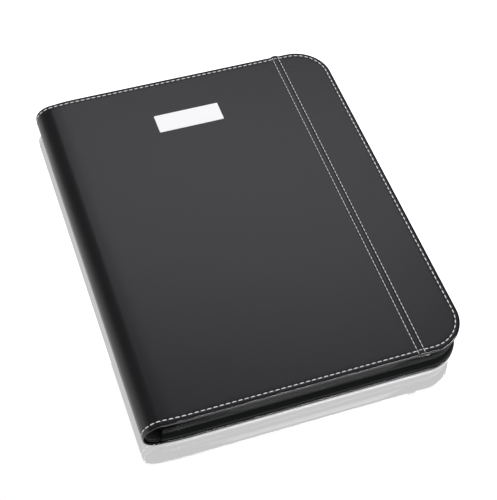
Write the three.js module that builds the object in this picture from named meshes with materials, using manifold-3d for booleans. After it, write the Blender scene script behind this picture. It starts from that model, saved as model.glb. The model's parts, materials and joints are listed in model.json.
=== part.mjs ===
// Zippered portfolio for an A4 writing pad. Two padded covers are joined by a half-round spine
// and closed on the other three edges by a coil zip. A writing pad lies in a sleeve on the back
// cover, and an organiser is sewn into the front cover.
// Millimetres, +Z up. The closed case lies on its back cover with its spine at -X and its head
// edge at +Y. The origin is the centre of the case on the back cover's outer face.

import * as THREE from 'three';
import { mergeGeometries, mergeVertices } from 'three/addons/utils/BufferGeometryUtils.js';
import Module from 'manifold-3d';

const wasm = await Module();
wasm.setup();

// Paper and the margins that the case leaves round it
const sheetWidth = 210;
const sheetLength = 297;
const spineSideMargin = 40;
const foreEdgeMargin = 20;
const tailMargin = 16;
const headMargin = 29;
const interiorHeight = 21.5;

// Layers of a cover, from its outer face inwards
const leatherThickness = 1;
const paddingThickness = 0.75;
const boardThickness = 1.25;
const tapeThickness = 0.5;
const liningThickness = 0.75;

// Edges of a cover
const foreCornerRadius = 31.5;
const rimWidth = 1.2;
const arrisRadius = 1;
const rimTopRadius = 0.5;
const spineDrawIn = 1;
const spineDrawLength = 25;
const fitClearance = 0.3;

// Spine, outermost layer first; its fold gap is an angle of the half round at each cover
const spineLeatherThickness = 1.25;
const stiffenerThickness = 1;
const spineLiningThickness = 0.75;
const layerGap = 0.25;
const spineFoldGap = 4 * Math.PI / 180;
const stiffenerSetBack = 5;

// Sewn strip over the joint of the two front panels, and the bare plate; the strip's shoulders lie
// at a share of its half width and of its crown
const seamFromForeEdge = 43.5;
const seamBandWidth = 7;
const seamBandEdge = 0.25;
const seamBandCrown = 0.75;
const seamBandTurn = 3;
const seamShoulderPlace = 0.5;
const seamShoulderRise = 0.85;
const namePlateWidth = 59;
const namePlateHeight = 20;
const namePlateThickness = 0.5;
const namePlateRadius = 0.8;
const namePlateFromSpine = 127.6;
const namePlateFromHead = 51.4;

// Zip tape: sewn flange, bulging wall, and the edge that carries the chain
const flangeWidth = 7.2;
const flangeInset = 1.8;
const tapeFoldInset = 1.25;
const tapeBulgeInset = 1.2;
const chainInset = 3.5;
const tapeSetBack = 0.5;

// Bends of the tape's wall as shares: of its height, of the way from the bulge in to the chain, and
// of the covers' draw-in at the spine
const tapeWallBends = [
  [0.27, 0, 1],
  [0.48, 0.12, 0.85],
  [0.64, 0.6, 0.4],
  [0.75, 1, 0],
  [1, 1, 0],
];

// Zip chain
const chainWidth = 6;
const chainThickness = 2.4;
const toothPitch = 2.5;
const toothDepth = 2.6;
const meshGap = 0.3;
const chainStartFromSpine = 15.6;
const bottomStopLength = 1.8;
const topStopLength = 1.3;
const endTabLength = 11.8;
const endTabThickness = 1;

// Slider, its crown and the pull that hangs from it
const sliderLength = 11;
const sliderPlateThickness = 1;
const sliderMouthWidth = 10;
const sliderRearWidth = 8.4;
const sliderChamfer = 1.2;
const sliderSlot = 1.6;
const sliderFromStops = 0.7;
const wedgeLength = 3;
const wedgeWidth = 2.2;
const crownLength = 9;
const crownThickness = 1.1;
const crownPost = 1.2;
const crownTunnel = 2.05;
const linkWire = 1;
const linkRadius = 1.6;
const linkReach = 5;
const linkBehindBar = 1.5;
const pullLength = 23.5;
const pullWidth = 6.5;
const pullNeckWidth = 4.4;
const pullNeckRound = 1.3;
const pullThickness = 1;
const pullHoleRadius = 1.5;
const pullEyeMargin = 1.2;
const pullTableGap = 0.15;

// Writing pad and its sleeve
const backingThickness = 0.75;
const paperStack = 6;
const padPlay = 0.25;
const bindingThickness = 0.5;
const bindingLeaf = 15;
const bindingBlock = 10;
const sleevePanel = 0.75;
const sleeveBorder = 3;
const sleeveMouthFromHead = 24;

// Organiser in the front cover
const pocketPanel = 0.75;
const pocketHollow = 0.75;
const pocketBorder = 3;
const documentPocketHeight = 205;
const documentPocketInset = 4;
const cardPocketCount = 3;
const cardPocketWidth = 94;
const cardPocketHeight = 92;
const cardPocketStep = 16;
const cardPocketPanel = 0.5;
const cardPocketHollow = 0.25;
const cardPocketInset = 9;
const pocketCornerRadius = 4;
const mouthDip = 4;
const penLoopWidth = 11;
const penLoopHeight = 11.75;
const penLoopLength = 30;
const penLoopWall = 0.75;
const penLoopRadius = 4.5;
const penLoopGap = 2;

// Facets, the sharpest mitre of a bent strip, how far a cut runs past a face, and the distance at
// which corners count as one
const cornerSteps = 9;
const teethPerCornerStep = 2;
const drawInSteps = 4;
const arrisSteps = 3;
const spineSteps = 20;
const wireSides = 8;
const bendSteps = 8;
const loopBendSteps = 5;
const smallBendSteps = 3;
const sharpestMitre = 0.5;
const cutOverrun = 1;
const weldDistance = 1e-4;

// Heights of the back cover's layers; the front cover mirrors them about the middle
const leatherTop = leatherThickness;
const paddingTop = leatherTop + paddingThickness;
const boardTop = paddingTop + boardThickness;
const flangeTop = boardTop + tapeThickness;
const liningTop = flangeTop + liningThickness;
const caseThickness = 2 * liningTop + interiorHeight;
const midHeight = caseThickness / 2;

// Plan of the case
const caseWidth = spineSideMargin + sheetWidth + foreEdgeMargin;
const caseLength = tailMargin + sheetLength + headMargin;
const halfLength = caseLength / 2;
const backX = -caseWidth / 2;
const foreX = caseWidth / 2;
const spineRadius = midHeight;
const spineX = backX + spineRadius;
const spineEndY = halfLength - spineDrawIn;
const layerInset = rimWidth + fitClearance;
const seamX = foreX - seamFromForeEdge;

// Place of the pad
const padX0 = backX + spineSideMargin;
const padX1 = padX0 + sheetWidth;
const padY0 = -halfLength + tailMargin;
const padY1 = padY0 + sheetLength;

// Place of the zip's parts
const chainHalf = chainWidth / 2;
const tapeEdge = chainHalf + fitClearance;
const chainY = halfLength - chainInset;
const stopX = spineX + tapeSetBack;
const sliderX = stopX + topStopLength + sliderFromStops + sliderLength / 2;
const wedgeX = -sliderLength / 2 + fitClearance;
const chainEndX = sliderX + wedgeX + wedgeLength + fitClearance;
const chainStartX = spineX + chainStartFromSpine;
const plateInner = chainThickness / 2 + fitClearance;
const plateOuter = plateInner + sliderPlateThickness;
const barCentre = plateOuter + crownTunnel + crownThickness / 2;

const materials = {
  leather: [0x3a3a3d, 0.55, 0],
  padding: [0xc9c4b4, 0.95, 0],
  board: [0x9a8464, 0.9, 0],
  lining: [0x1f1f22, 0.9, 0],
  stiffener: [0x2a2a2a, 0.6, 0],
  plate: [0xf4f4f4, 0.35, 0.1],
  tape: [0x131513, 0.85, 0],
  coil: [0x1b1d1b, 0.45, 0],
  metal: [0xb9bcc0, 0.28, 1],
  paper: [0xf3f1ea, 0.9, 0],
  elastic: [0x17171a, 0.85, 0],
};

const portfolio = new THREE.Group();

function addPart(name, geometry, finish, parent = portfolio) {
  const [color, roughness, metalness] = materials[finish];
  const material = new THREE.MeshStandardMaterial({ color, roughness, metalness });
  const mesh = new THREE.Mesh(geometry, material);
  mesh.name = name;
  parent.add(mesh);
  return mesh;
}

const mix = (from, to, share) => from + (to - from) * share;

// How far the covers' head and tail edges draw in at x, on an arc that starts tangent to them
function drawInAt(x) {
  const reach = Math.max(spineX + spineDrawLength - x, 0);
  const radius = (spineDrawLength ** 2 + spineDrawIn ** 2) / (2 * spineDrawIn);
  return radius - Math.sqrt(radius ** 2 - reach ** 2);
}

// The covers' three free edges moved inwards by inset, from the spine along the tail, round the
// fore-edge and back along the head; share says how much of the draw-in at the spine it follows
function edgePath(inset, startX = spineX, share = 1) {
  const tail = [];
  for (let step = 0; step <= drawInSteps; step += 1) {
    const x = mix(startX, spineX + spineDrawLength, step / drawInSteps);
    tail.push([x, -halfLength + inset + share * drawInAt(x)]);
  }
  const radius = Math.max(foreCornerRadius - inset, fitClearance);
  for (let step = 0; step <= cornerSteps; step += 1) {
    const angle = mix(-Math.PI / 2, 0, step / cornerSteps);
    const x = foreX - inset - radius + radius * Math.cos(angle);
    const y = -halfLength + inset + radius + radius * Math.sin(angle);
    tail.push([x, y]);
  }
  const head = tail.map(([x, y]) => [x, -y]).reverse();
  return [...tail, ...head];
}

function geometryFrom(positions, triangles) {
  const geometry = new THREE.BufferGeometry();
  geometry.setAttribute('position', new THREE.Float32BufferAttribute(positions.flat(), 3));
  geometry.setIndex(triangles.flat());
  return geometry;
}

function signedVolume(positions, triangles) {
  const corner = (index) => new THREE.Vector3(...positions[index]);
  return triangles.reduce((sum, [a, b, c]) => sum + corner(a).dot(corner(b).cross(corner(c))), 0);
}

// Triangles of a flat cap in the order of its outline
function capTriangles(outline) {
  const points = outline.map(([u, v]) => new THREE.Vector2(u, v));
  const triangles = THREE.ShapeUtils.triangulateShape(points, []);
  const ordered = THREE.ShapeUtils.area(points) > 0;
  return triangles.map(([a, b, c]) => (ordered ? [a, b, c] : [a, c, b]));
}

// Closed skin over rings of equal length: capped at both ends, or joined up when it is a loop
function skinRings(rings, capOutline, loop = false) {
  const size = rings[0].length;
  const positions = rings.flat();
  const triangles = [];
  const bands = loop ? rings.length : rings.length - 1;
  for (let band = 0; band < bands; band += 1) {
    const lower = band * size;
    const upper = ((band + 1) % rings.length) * size;
    for (let side = 0; side < size; side += 1) {
      const next = (side + 1) % size;
      triangles.push([lower + side, lower + next, upper + next]);
      triangles.push([lower + side, upper + next, upper + side]);
    }
  }
  if (!loop) {
    const last = (rings.length - 1) * size;
    for (const [a, b, c] of capTriangles(capOutline)) {
      triangles.push([a, c, b]);
      triangles.push([last + a, last + b, last + c]);
    }
  }
  if (signedVolume(positions, triangles) < 0) {
    triangles.forEach((triangle) => triangle.reverse());
  }
  return geometryFrom(positions, triangles);
}

// Solid over rings of the cover's outline, each given as inset, height and inset at the spine
function coverSolid(levels) {
  const rings = levels.map(([inset, z, spineInset]) => (
    edgePath(inset, spineX + spineInset).map(([x, y]) => [x, y, z])
  ));
  return skinRings(rings, rings[0]);
}

// The same piece on the front cover
function mirrored(geometry) {
  const copy = geometry.clone();
  copy.scale(1, 1, -1);
  copy.translate(0, 0, caseThickness);
  const order = copy.index.array;
  for (let start = 0; start < order.length; start += 3) {
    [order[start], order[start + 1]] = [order[start + 1], order[start]];
  }
  return copy;
}

// A section given in the XZ plane, drawn out along Y
function alongY(shape, y0, y1, curveSegments = bendSteps) {
  const geometry = new THREE.ExtrudeGeometry(shape, { depth: y1 - y0, bevelEnabled: false, curveSegments });
  geometry.rotateX(Math.PI / 2);
  geometry.translate(0, y1, 0);
  return geometry;
}

// An outline given in the XY plane, drawn out along Z
function alongZ(shape, z0, z1, curveSegments = bendSteps) {
  const geometry = new THREE.ExtrudeGeometry(shape, { depth: z1 - z0, bevelEnabled: false, curveSegments });
  geometry.translate(0, 0, z0);
  return geometry;
}

function block(x0, x1, y0, y1, z0, z1) {
  const geometry = new THREE.BoxGeometry(x1 - x0, y1 - y0, z1 - z0);
  geometry.translate((x0 + x1) / 2, (y0 + y1) / 2, (z0 + z1) / 2);
  return geometry;
}

function shapeFrom(points) {
  return new THREE.Shape(points.map(([u, v]) => new THREE.Vector2(u, v)));
}

function roundedRectangle(x0, x1, y0, y1, radius, path = new THREE.Shape()) {
  path.moveTo(x0 + radius, y0);
  path.lineTo(x1 - radius, y0);
  path.absarc(x1 - radius, y0 + radius, radius, -Math.PI / 2, 0);
  path.lineTo(x1, y1 - radius);
  path.absarc(x1 - radius, y1 - radius, radius, 0, Math.PI / 2);
  path.lineTo(x0 + radius, y1);
  path.absarc(x0 + radius, y1 - radius, radius, Math.PI / 2, Math.PI);
  path.lineTo(x0, y0 + radius);
  path.absarc(x0 + radius, y0 + radius, radius, Math.PI, 1.5 * Math.PI);
  return path;
}

function toSolid(geometry) {
  const bare = geometry.clone();
  bare.deleteAttribute('normal');
  bare.deleteAttribute('uv');
  const merged = mergeVertices(bare, weldDistance);
  return new wasm.Manifold(new wasm.Mesh({
    numProp: 3,
    vertProperties: new Float32Array(merged.attributes.position.array),
    triVerts: new Uint32Array(merged.index.array),
  }));
}

function fromSolid(solid) {
  const { vertProperties, triVerts, numProp } = solid.getMesh();
  const geometry = new THREE.BufferGeometry();
  const count = vertProperties.length / numProp;
  const position = new Float32Array(count * 3);
  for (let vertex = 0; vertex < count; vertex += 1) {
    position.set(vertProperties.subarray(vertex * numProp, vertex * numProp + 3), vertex * 3);
  }
  geometry.setAttribute('position', new THREE.BufferAttribute(position, 3));
  geometry.setIndex(Array.from(triVerts));
  return geometry;
}

const joined = (...pieces) => fromSolid(pieces.map(toSolid).reduce((sum, next) => sum.add(next)));
const cutBy = (piece, tool) => fromSolid(toSolid(piece).subtract(toSolid(tool)));
const commonOf = (piece, tool) => fromSolid(toSolid(piece).intersect(toSolid(tool)));

// Leather of a cover: a shallow tray whose rim is turned up round the board
function leatherTray() {
  const levels = [];
  for (let step = 0; step <= arrisSteps; step += 1) {
    const turn = mix(0, Math.PI / 2, step / arrisSteps);
    levels.push([arrisRadius * (1 - Math.sin(turn)), arrisRadius * (1 - Math.cos(turn)), 0]);
  }
  for (let step = 0; step <= arrisSteps; step += 1) {
    const turn = mix(0, Math.PI / 2, step / arrisSteps);
    const z = boardTop - rimTopRadius * (1 - Math.sin(turn));
    levels.push([rimTopRadius * (1 - Math.cos(turn)), z, 0]);
  }
  levels.push([rimWidth, boardTop, rimWidth]);
  levels.push([rimWidth, leatherTop, rimWidth]);
  return coverSolid(levels);
}

const layerSlab = (z0, z1) => coverSolid([[layerInset, z0, layerInset], [layerInset, z1, layerInset]]);

// Lining: it lies on the board, and steps over the zip tape's flange
function liningSheet() {
  const middleInset = flangeInset + flangeWidth + fitClearance;
  const edgeInset = flangeInset + fitClearance;
  return coverSolid([
    [middleInset, boardTop, layerInset + fitClearance],
    [middleInset, flangeTop, layerInset + fitClearance],
    [edgeInset, flangeTop, layerInset],
    [edgeInset, liningTop, layerInset],
  ]);
}

function addCovers() {
  const tray = leatherTray();
  const farX = caseWidth;
  const farY = caseLength;
  const split = fitClearance / 2;
  const panels = mirrored(tray);
  addPart('back_cover_leather', tray, 'leather');
  addPart('back_padding', layerSlab(leatherTop, paddingTop), 'padding');
  addPart('back_cover_board', layerSlab(paddingTop, boardTop), 'board');
  addPart('back_lining', liningSheet(), 'lining');
  const farZ = caseThickness + cutOverrun;
  const mainSide = block(-farX, seamX - split, -farY, farY, 0, farZ);
  const foreSide = block(seamX + split, farX, -farY, farY, 0, farZ);
  addPart('front_cover_leather', commonOf(panels, mainSide), 'leather');
  addPart('fore_edge_panel', commonOf(panels, foreSide), 'leather');
  addPart('front_padding', mirrored(layerSlab(leatherTop, paddingTop)), 'padding');
  addPart('front_cover_board', mirrored(layerSlab(paddingTop, boardTop)), 'board');
  addPart('front_lining', mirrored(liningSheet()), 'lining');
}

// Puffed strip over the panels' joint, which turns down over the head and tail edges
function seamBand() {
  const half = seamBandWidth / 2;
  const shoulder = half * seamShoulderPlace;
  const shoulderRise = seamBandCrown * seamShoulderRise;
  const across = [[-half, 0], [-half, seamBandEdge], [-shoulder, shoulderRise], [0, seamBandCrown],
    [shoulder, shoulderRise], [half, seamBandEdge], [half, 0]];
  const turnZ = caseThickness - seamBandTurn;
  const line = [[halfLength, turnZ, 1, 0], [halfLength, caseThickness, 1, 1],
    [-halfLength, caseThickness, -1, 1], [-halfLength, turnZ, -1, 0]];
  const rings = line.map(([y, z, outY, outZ]) => (
    across.map(([x, rise]) => [seamX + x, y + outY * rise, z + outZ * rise])
  ));
  return skinRings(rings, across);
}

function addFrontTrim() {
  addPart('seam_band', seamBand(), 'leather');
  const plateX = backX + namePlateFromSpine - namePlateWidth / 2;
  const plateY = halfLength - namePlateFromHead - namePlateHeight / 2;
  const outline = roundedRectangle(plateX, plateX + namePlateWidth, plateY, plateY + namePlateHeight,
    namePlateRadius);
  const plateTop = caseThickness + namePlateThickness;
  addPart('name_plate', alongZ(outline, caseThickness, plateTop, smallBendSteps), 'plate');
}

// One layer of the half-round spine between two radii
function spineShell(outer, inner, endY) {
  const section = [];
  for (let step = 0; step <= spineSteps; step += 1) {
    const angle = mix(Math.PI / 2 + spineFoldGap, 1.5 * Math.PI - spineFoldGap, step / spineSteps);
    section.push([Math.cos(angle), Math.sin(angle)]);
  }
  const outline = [
    ...section.map(([c, s]) => [spineX + outer * c, midHeight + outer * s]),
    ...section.reverse().map(([c, s]) => [spineX + inner * c, midHeight + inner * s]),
  ];
  return alongY(shapeFrom(outline), -endY, endY);
}

function addSpine() {
  const leatherInner = spineRadius - spineLeatherThickness;
  const stiffenerOuter = leatherInner - layerGap;
  const liningOuter = stiffenerOuter - stiffenerThickness;
  const liningInner = liningOuter - spineLiningThickness;
  const innerEndY = spineEndY - stiffenerSetBack;
  addPart('spine_leather', spineShell(spineRadius, leatherInner, spineEndY), 'leather');
  addPart('spine_stiffener', spineShell(stiffenerOuter, liningOuter, innerEndY), 'stiffener');
  addPart('spine_lining', spineShell(liningOuter, liningInner, spineEndY), 'lining');
}

// Both sides of a bent strip, half its thickness away from its middle line
function stripSection(line) {
  const points = line.map(([inset, z]) => new THREE.Vector2(inset, z));
  const normals = points.map((point, index) => {
    const before = point.clone().sub(points[Math.max(index - 1, 0)]).normalize();
    const after = points[Math.min(index + 1, points.length - 1)].clone().sub(point).normalize();
    const along = before.add(after).normalize();
    const edge = index === 0 || index === points.length - 1 ? along : after;
    const stretch = 1 / Math.max(along.dot(edge), sharpestMitre);
    return new THREE.Vector2(-along.y, along.x).multiplyScalar(stretch * tapeThickness / 2);
  });
  const side = (sign) => points.map((point, index) => {
    const moved = point.clone().addScaledVector(normals[index], sign);
    return [moved.x, moved.y, line[index][2]];
  });
  return [...side(1), ...side(-1).reverse()];
}

// Zip tape of the back cover: its flange lies on the board under the lining, its wall bulges to
// the cover's edge and then falls back to the recessed chain
function zipTape() {
  const flangeMiddle = boardTop + tapeThickness / 2;
  const rise = midHeight - tapeEdge - flangeMiddle;
  const wall = tapeWallBends.map(([height, inwards, follow]) => (
    [mix(tapeBulgeInset, chainInset, inwards), flangeMiddle + rise * height, follow]
  ));
  const line = [
    [flangeInset + flangeWidth, flangeMiddle, 1],
    [flangeInset, flangeMiddle, 1],
    [tapeFoldInset, flangeMiddle + tapeThickness, 1],
    ...wall,
  ];
  const section = stripSection(line);
  const lines = section.map(([inset, , follow]) => edgePath(inset, stopX, follow));
  const rings = lines[0].map((_, station) => (
    section.map(([, z], index) => [...lines[index][station], z])
  ));
  return skinRings(rings, section);
}

// Straight stretches of the chain's path: along the tail, round each corner in short chords, up
// the fore-edge and back along the head to the slider; each has its two ends and a tooth count
function chainStretches() {
  const line = (inset) => {
    const bends = edgePath(inset).slice(drawInSteps + 1, -drawInSteps - 1);
    return [[chainStartX, -halfLength + inset], ...bends, [chainEndX, halfLength - inset]];
  };
  const outer = line(chainInset - chainThickness / 2);
  const inner = line(chainInset + chainThickness / 2);
  const middle = line(chainInset);
  return middle.slice(1).map((end, index) => {
    const start = middle[index];
    const reach = Math.hypot(end[0] - start[0], end[1] - start[1]);
    const inCorner = reach < toothPitch * teethPerCornerStep * 2;
    const teeth = inCorner ? teethPerCornerStep : Math.round(reach / toothPitch);
    return { outer: [outer[index], outer[index + 1]], inner: [inner[index], inner[index + 1]], teeth };
  });
}

// One half of the chain: a bar with teeth that enter the gaps of the other half, above the middle
// for side 1 and below it for side -1. Both halves follow one zigzag and keep the same gap to it.
function chainComb(side) {
  const stretches = chainStretches();
  const slope = toothDepth / (toothPitch / 2);
  const shift = side * meshGap * Math.hypot(1, slope) / 2;
  const bendZ = midHeight + toothDepth / 2 + shift;
  const betweenZ = midHeight - toothDepth / 2 + shift;
  const edgeZ = midHeight + side * chainHalf;
  const pieces = stretches.map(({ outer, inner, teeth }, index) => {
    const outline = [[1, edgeZ], [0, edgeZ]];
    for (let flank = 0; flank <= 2 * teeth; flank += 1) {
      outline.push([flank / (2 * teeth), flank % 2 ? betweenZ : bendZ]);
    }
    const size = outline.length;
    const place = ([from, to], [t, z]) => [mix(from[0], to[0], t), mix(from[1], to[1], t), z];
    const positions = [outer, inner].flatMap((ends) => outline.map((point) => place(ends, point)));
    const triangles = capTriangles(outline).flatMap(([a, b, c]) => (
      [[a, b, c], [size + a, size + c, size + b]]
    ));
    for (let at = 0; at < size; at += 1) {
      const next = (at + 1) % size;
      const joinsBefore = at === 1 && index > 0;
      const joinsAfter = at === size - 1 && index < stretches.length - 1;
      if (!joinsBefore && !joinsAfter) {
        triangles.push([at, size + at, size + next]);
        triangles.push([at, size + next, next]);
      }
    }
    if (side < 0) {
      triangles.forEach((triangle) => triangle.reverse());
    }
    return geometryFrom(positions, triangles);
  });
  return mergeVertices(mergeGeometries(pieces), weldDistance);
}

function addZip() {
  addPart('zip_tape_lower', zipTape(), 'tape');
  addPart('zip_tape_upper', mirrored(zipTape()), 'tape');
  addPart('zip_coil_upper', chainComb(1), 'coil');
  addPart('zip_coil_lower', chainComb(-1), 'coil');
  const half = chainThickness / 2;
  const stopEnd = stopX + topStopLength;
  addPart('zip_top_stop_upper', block(stopX, stopEnd, chainY - half, chainY + half,
    midHeight + fitClearance, midHeight + chainHalf), 'metal');
  addPart('zip_top_stop_lower', block(stopX, stopEnd, chainY - half, chainY + half,
    midHeight - chainHalf, midHeight - fitClearance), 'metal');
  const bottomEnd = chainStartX - fitClearance;
  const bottomStart = bottomEnd - bottomStopLength;
  addPart('zip_bottom_stop', block(bottomStart, bottomEnd, -chainY - half, -chainY + half,
    midHeight - chainHalf, midHeight + chainHalf), 'coil');
  const tabEnd = bottomStart - fitClearance;
  const tab = roundedRectangle(tabEnd - endTabLength, tabEnd, midHeight - chainHalf,
    midHeight + chainHalf, fitClearance);
  addPart('zip_end_tab', alongY(tab, -chainY - endTabThickness / 2, -chainY + endTabThickness / 2,
    smallBendSteps), 'leather');
}

// Slider body about its own centre: X along the zip, Y outwards, Z up
function sliderBody() {
  const half = sliderLength / 2;
  const mouth = sliderMouthWidth / 2;
  const rear = sliderRearWidth / 2;
  const chamfer = sliderChamfer;
  const outline = shapeFrom([[-half, -mouth + chamfer], [-half + chamfer, -mouth], [half - chamfer, -rear],
    [half, -rear + chamfer], [half, rear - chamfer], [half - chamfer, rear],
    [-half + chamfer, mouth], [-half, mouth - chamfer]]);
  const plates = [alongY(outline, plateInner, plateOuter), alongY(outline, -plateOuter, -plateInner)];
  const lipStart = -half + 2 * chamfer;
  const overlap = sliderPlateThickness / 2;
  const lips = [];
  for (const side of [-1, 1]) {
    const z0 = side > 0 ? tapeEdge : -rear;
    const z1 = side > 0 ? rear : -tapeEdge;
    lips.push(block(lipStart, half - chamfer, sliderSlot / 2, plateInner + overlap, z0, z1));
    lips.push(block(lipStart, half - chamfer, -plateInner - overlap, -sliderSlot / 2, z0, z1));
  }
  const wedge = alongY(shapeFrom([[wedgeX, 0], [wedgeX + wedgeLength / 2, -wedgeWidth / 2],
    [wedgeX + wedgeLength, 0], [wedgeX + wedgeLength / 2, wedgeWidth / 2]]),
  -plateInner - overlap, plateInner + overlap);
  const post = crownLength / 2;
  const inside = post - crownPost;
  const barY = barCentre - crownThickness / 2;
  const topY = barCentre + crownThickness / 2;
  const foot = plateOuter - overlap;
  const crown = alongZ(shapeFrom([[-post, foot], [-inside, foot], [-inside, barY - chamfer / 2],
    [-inside + chamfer / 2, barY], [inside - chamfer / 2, barY], [inside, barY - chamfer / 2],
    [inside, foot], [post, foot], [post, topY - chamfer], [post - chamfer, topY],
    [-post + chamfer, topY], [-post, topY - chamfer]]), -crownThickness / 2, crownThickness / 2);
  return joined(...plates, ...lips, wedge, crown);
}

// Link of round wire through the crown, in the YZ plane, with its bar end at the origin
function pullLink() {
  const wire = linkWire / 2;
  const nearY = linkRadius - linkBehindBar;
  const farY = linkReach - linkRadius;
  const path = [];
  for (let step = 0; step <= bendSteps; step += 1) {
    const angle = mix(-Math.PI / 2, Math.PI / 2, step / bendSteps);
    path.push([farY, angle]);
  }
  for (let step = 0; step <= bendSteps; step += 1) {
    const angle = mix(Math.PI / 2, 1.5 * Math.PI, step / bendSteps);
    path.push([nearY, angle]);
  }
  const rings = path.map(([centre, angle]) => {
    const ring = [];
    for (let side = 0; side < wireSides; side += 1) {
      const turn = 2 * Math.PI * side / wireSides;
      const out = linkRadius + wire * Math.cos(turn);
      ring.push([wire * Math.sin(turn), centre + out * Math.cos(angle), out * Math.sin(angle)]);
    }
    return ring;
  });
  return skinRings(rings, null, true);
}

// Flat pull in the XY plane: a narrow eye round the link's wire, then the wider grip
function pullPlate() {
  const holeY = linkReach - linkWire / 2 - fitClearance + pullHoleRadius;
  const start = holeY - pullHoleRadius - pullEyeMargin;
  const end = start + pullLength;
  const neck = pullNeckWidth / 2;
  const grip = pullWidth / 2;
  const outline = new THREE.Shape();
  outline.moveTo(-neck, start + pullNeckRound);
  outline.quadraticCurveTo(-neck, start, 0, start);
  outline.quadraticCurveTo(neck, start, neck, start + pullNeckRound);
  outline.lineTo(grip, start + pullEyeMargin + 2 * pullHoleRadius + neck);
  outline.lineTo(grip, end - grip);
  outline.absarc(0, end - grip, grip, 0, Math.PI);
  outline.lineTo(-grip, start + pullEyeMargin + 2 * pullHoleRadius + neck);
  outline.closePath();
  const hole = new THREE.Path();
  hole.absarc(0, holeY, pullHoleRadius, 0, 2 * Math.PI, true);
  outline.holes.push(hole);
  return alongZ(outline, -pullThickness / 2, pullThickness / 2, bendSteps);
}

// The pull droops from the crown until its tip meets the table
function pullDroop() {
  const reach = linkReach - linkWire / 2 - fitClearance - pullEyeMargin + pullLength;
  const diagonal = Math.hypot(reach, pullThickness / 2);
  const drop = Math.min((midHeight - pullTableGap) / diagonal, 1);
  return Math.asin(drop) - Math.atan2(pullThickness / 2, reach);
}

function addSlider() {
  const slider = new THREE.Group();
  slider.position.set(sliderX, chainY, midHeight);
  portfolio.add(slider);
  addPart('zip_slider', sliderBody(), 'metal', slider);
  const hanging = new THREE.Group();
  hanging.position.set(0, barCentre, 0);
  hanging.rotation.x = -pullDroop();
  slider.add(hanging);
  addPart('zip_pull_link', pullLink(), 'metal', hanging);
  addPart('zip_pull', pullPlate(), 'metal', hanging);
}

// Flat pocket whose border is sewn down on three sides, with a dipped mouth towards the head;
// the panel lies beyond the hollow, seen from the surface it is sewn to
function pocket(x0, x1, y0, y1, surface, hollow, panel, border, direction) {
  const outline = new THREE.Shape();
  const radius = pocketCornerRadius;
  outline.moveTo(x0 + radius, y0);
  outline.lineTo(x1 - radius, y0);
  outline.absarc(x1 - radius, y0 + radius, radius, -Math.PI / 2, 0);
  outline.lineTo(x1, y1);
  outline.quadraticCurveTo((x0 + x1) / 2, y1 - 2 * mouthDip, x0, y1);
  outline.lineTo(x0, y0 + radius);
  outline.absarc(x0 + radius, y0 + radius, radius, Math.PI, 1.5 * Math.PI);
  const far = surface + direction * (hollow + panel);
  const inside = surface + direction * hollow;
  const past = surface - direction * cutOverrun;
  const solid = alongZ(outline, Math.min(surface, far), Math.max(surface, far));
  const space = block(x0 + border, x1 - border, y0 + border, y1 + border,
    Math.min(past, inside), Math.max(past, inside));
  return cutBy(solid, space);
}

function addPad() {
  const backingTop = liningTop + backingThickness;
  const sleeveHollow = backingThickness + padPlay;
  const sleeveTop = liningTop + sleeveHollow + sleevePanel;
  const sheetsBottom = sleeveTop + padPlay;
  const sheetsTop = sheetsBottom + paperStack;
  const side = sleeveBorder + padPlay;
  addPart('pad_sleeve', pocket(padX0 - side, padX1 + side, padY0 - side, padY1 - sleeveMouthFromHead,
    liningTop, sleeveHollow, sleevePanel, sleeveBorder, 1), 'lining');
  addPart('pad_backing_board', block(padX0, padX1, padY0, padY1, liningTop, backingTop), 'board');
  addPart('pad_sheets', block(padX0, padX1, padY0, padY1, sheetsBottom, sheetsTop), 'paper');
  const section = [[padY1 + bindingThickness, liningTop], [padY1 + bindingThickness, sheetsTop + bindingThickness],
    [padY1 - bindingLeaf, sheetsTop + bindingThickness], [padY1 - bindingLeaf, sheetsTop], [padY1, sheetsTop],
    [padY1, sheetsBottom], [padY1 - bindingBlock, sheetsBottom], [padY1 - bindingBlock, backingTop],
    [padY1, backingTop], [padY1, liningTop]];
  const rings = [padX0, padX1].map((x) => section.map(([y, z]) => [x, y, z]));
  addPart('pad_binding', skinRings(rings, section), 'lining');
}

function addOrganiser() {
  const liningFace = caseThickness - liningTop;
  const x0 = padX0 + documentPocketInset;
  const x1 = padX1 - documentPocketInset;
  const y0 = padY0 + documentPocketInset;
  addPart('document_pocket', pocket(x0, x1, y0, y0 + documentPocketHeight, liningFace, pocketHollow,
    pocketPanel, pocketBorder, -1), 'lining');
  const cardX0 = x0 + cardPocketInset;
  const cardY0 = y0 + cardPocketInset;
  const layer = cardPocketHollow + cardPocketPanel;
  const firstFace = liningFace - pocketHollow - pocketPanel;
  for (let index = 0; index < cardPocketCount; index += 1) {
    addPart(`card_pocket_${index + 1}`, pocket(cardX0, cardX0 + cardPocketWidth, cardY0,
      cardY0 + cardPocketHeight - index * cardPocketStep, firstFace - index * layer,
      cardPocketHollow, cardPocketPanel, pocketBorder, -1), 'leather');
  }
  const loopX1 = padX0 - penLoopGap;
  const loopX0 = loopX1 - penLoopWidth;
  const loopZ0 = liningFace - penLoopHeight;
  const loop = roundedRectangle(loopX0, loopX1, loopZ0, liningFace, penLoopRadius);
  loop.holes.push(roundedRectangle(loopX0 + penLoopWall, loopX1 - penLoopWall, loopZ0 + penLoopWall,
    liningFace - penLoopWall, penLoopRadius - penLoopWall, new THREE.Path()));
  addPart('pen_loop', alongY(loop, -penLoopLength / 2, penLoopLength / 2, loopBendSteps), 'elastic');
}

addCovers();
addFrontTrim();
addSpine();
addZip();
addSlider();
addPad();
addOrganiser();

export default portfolio;
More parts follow.
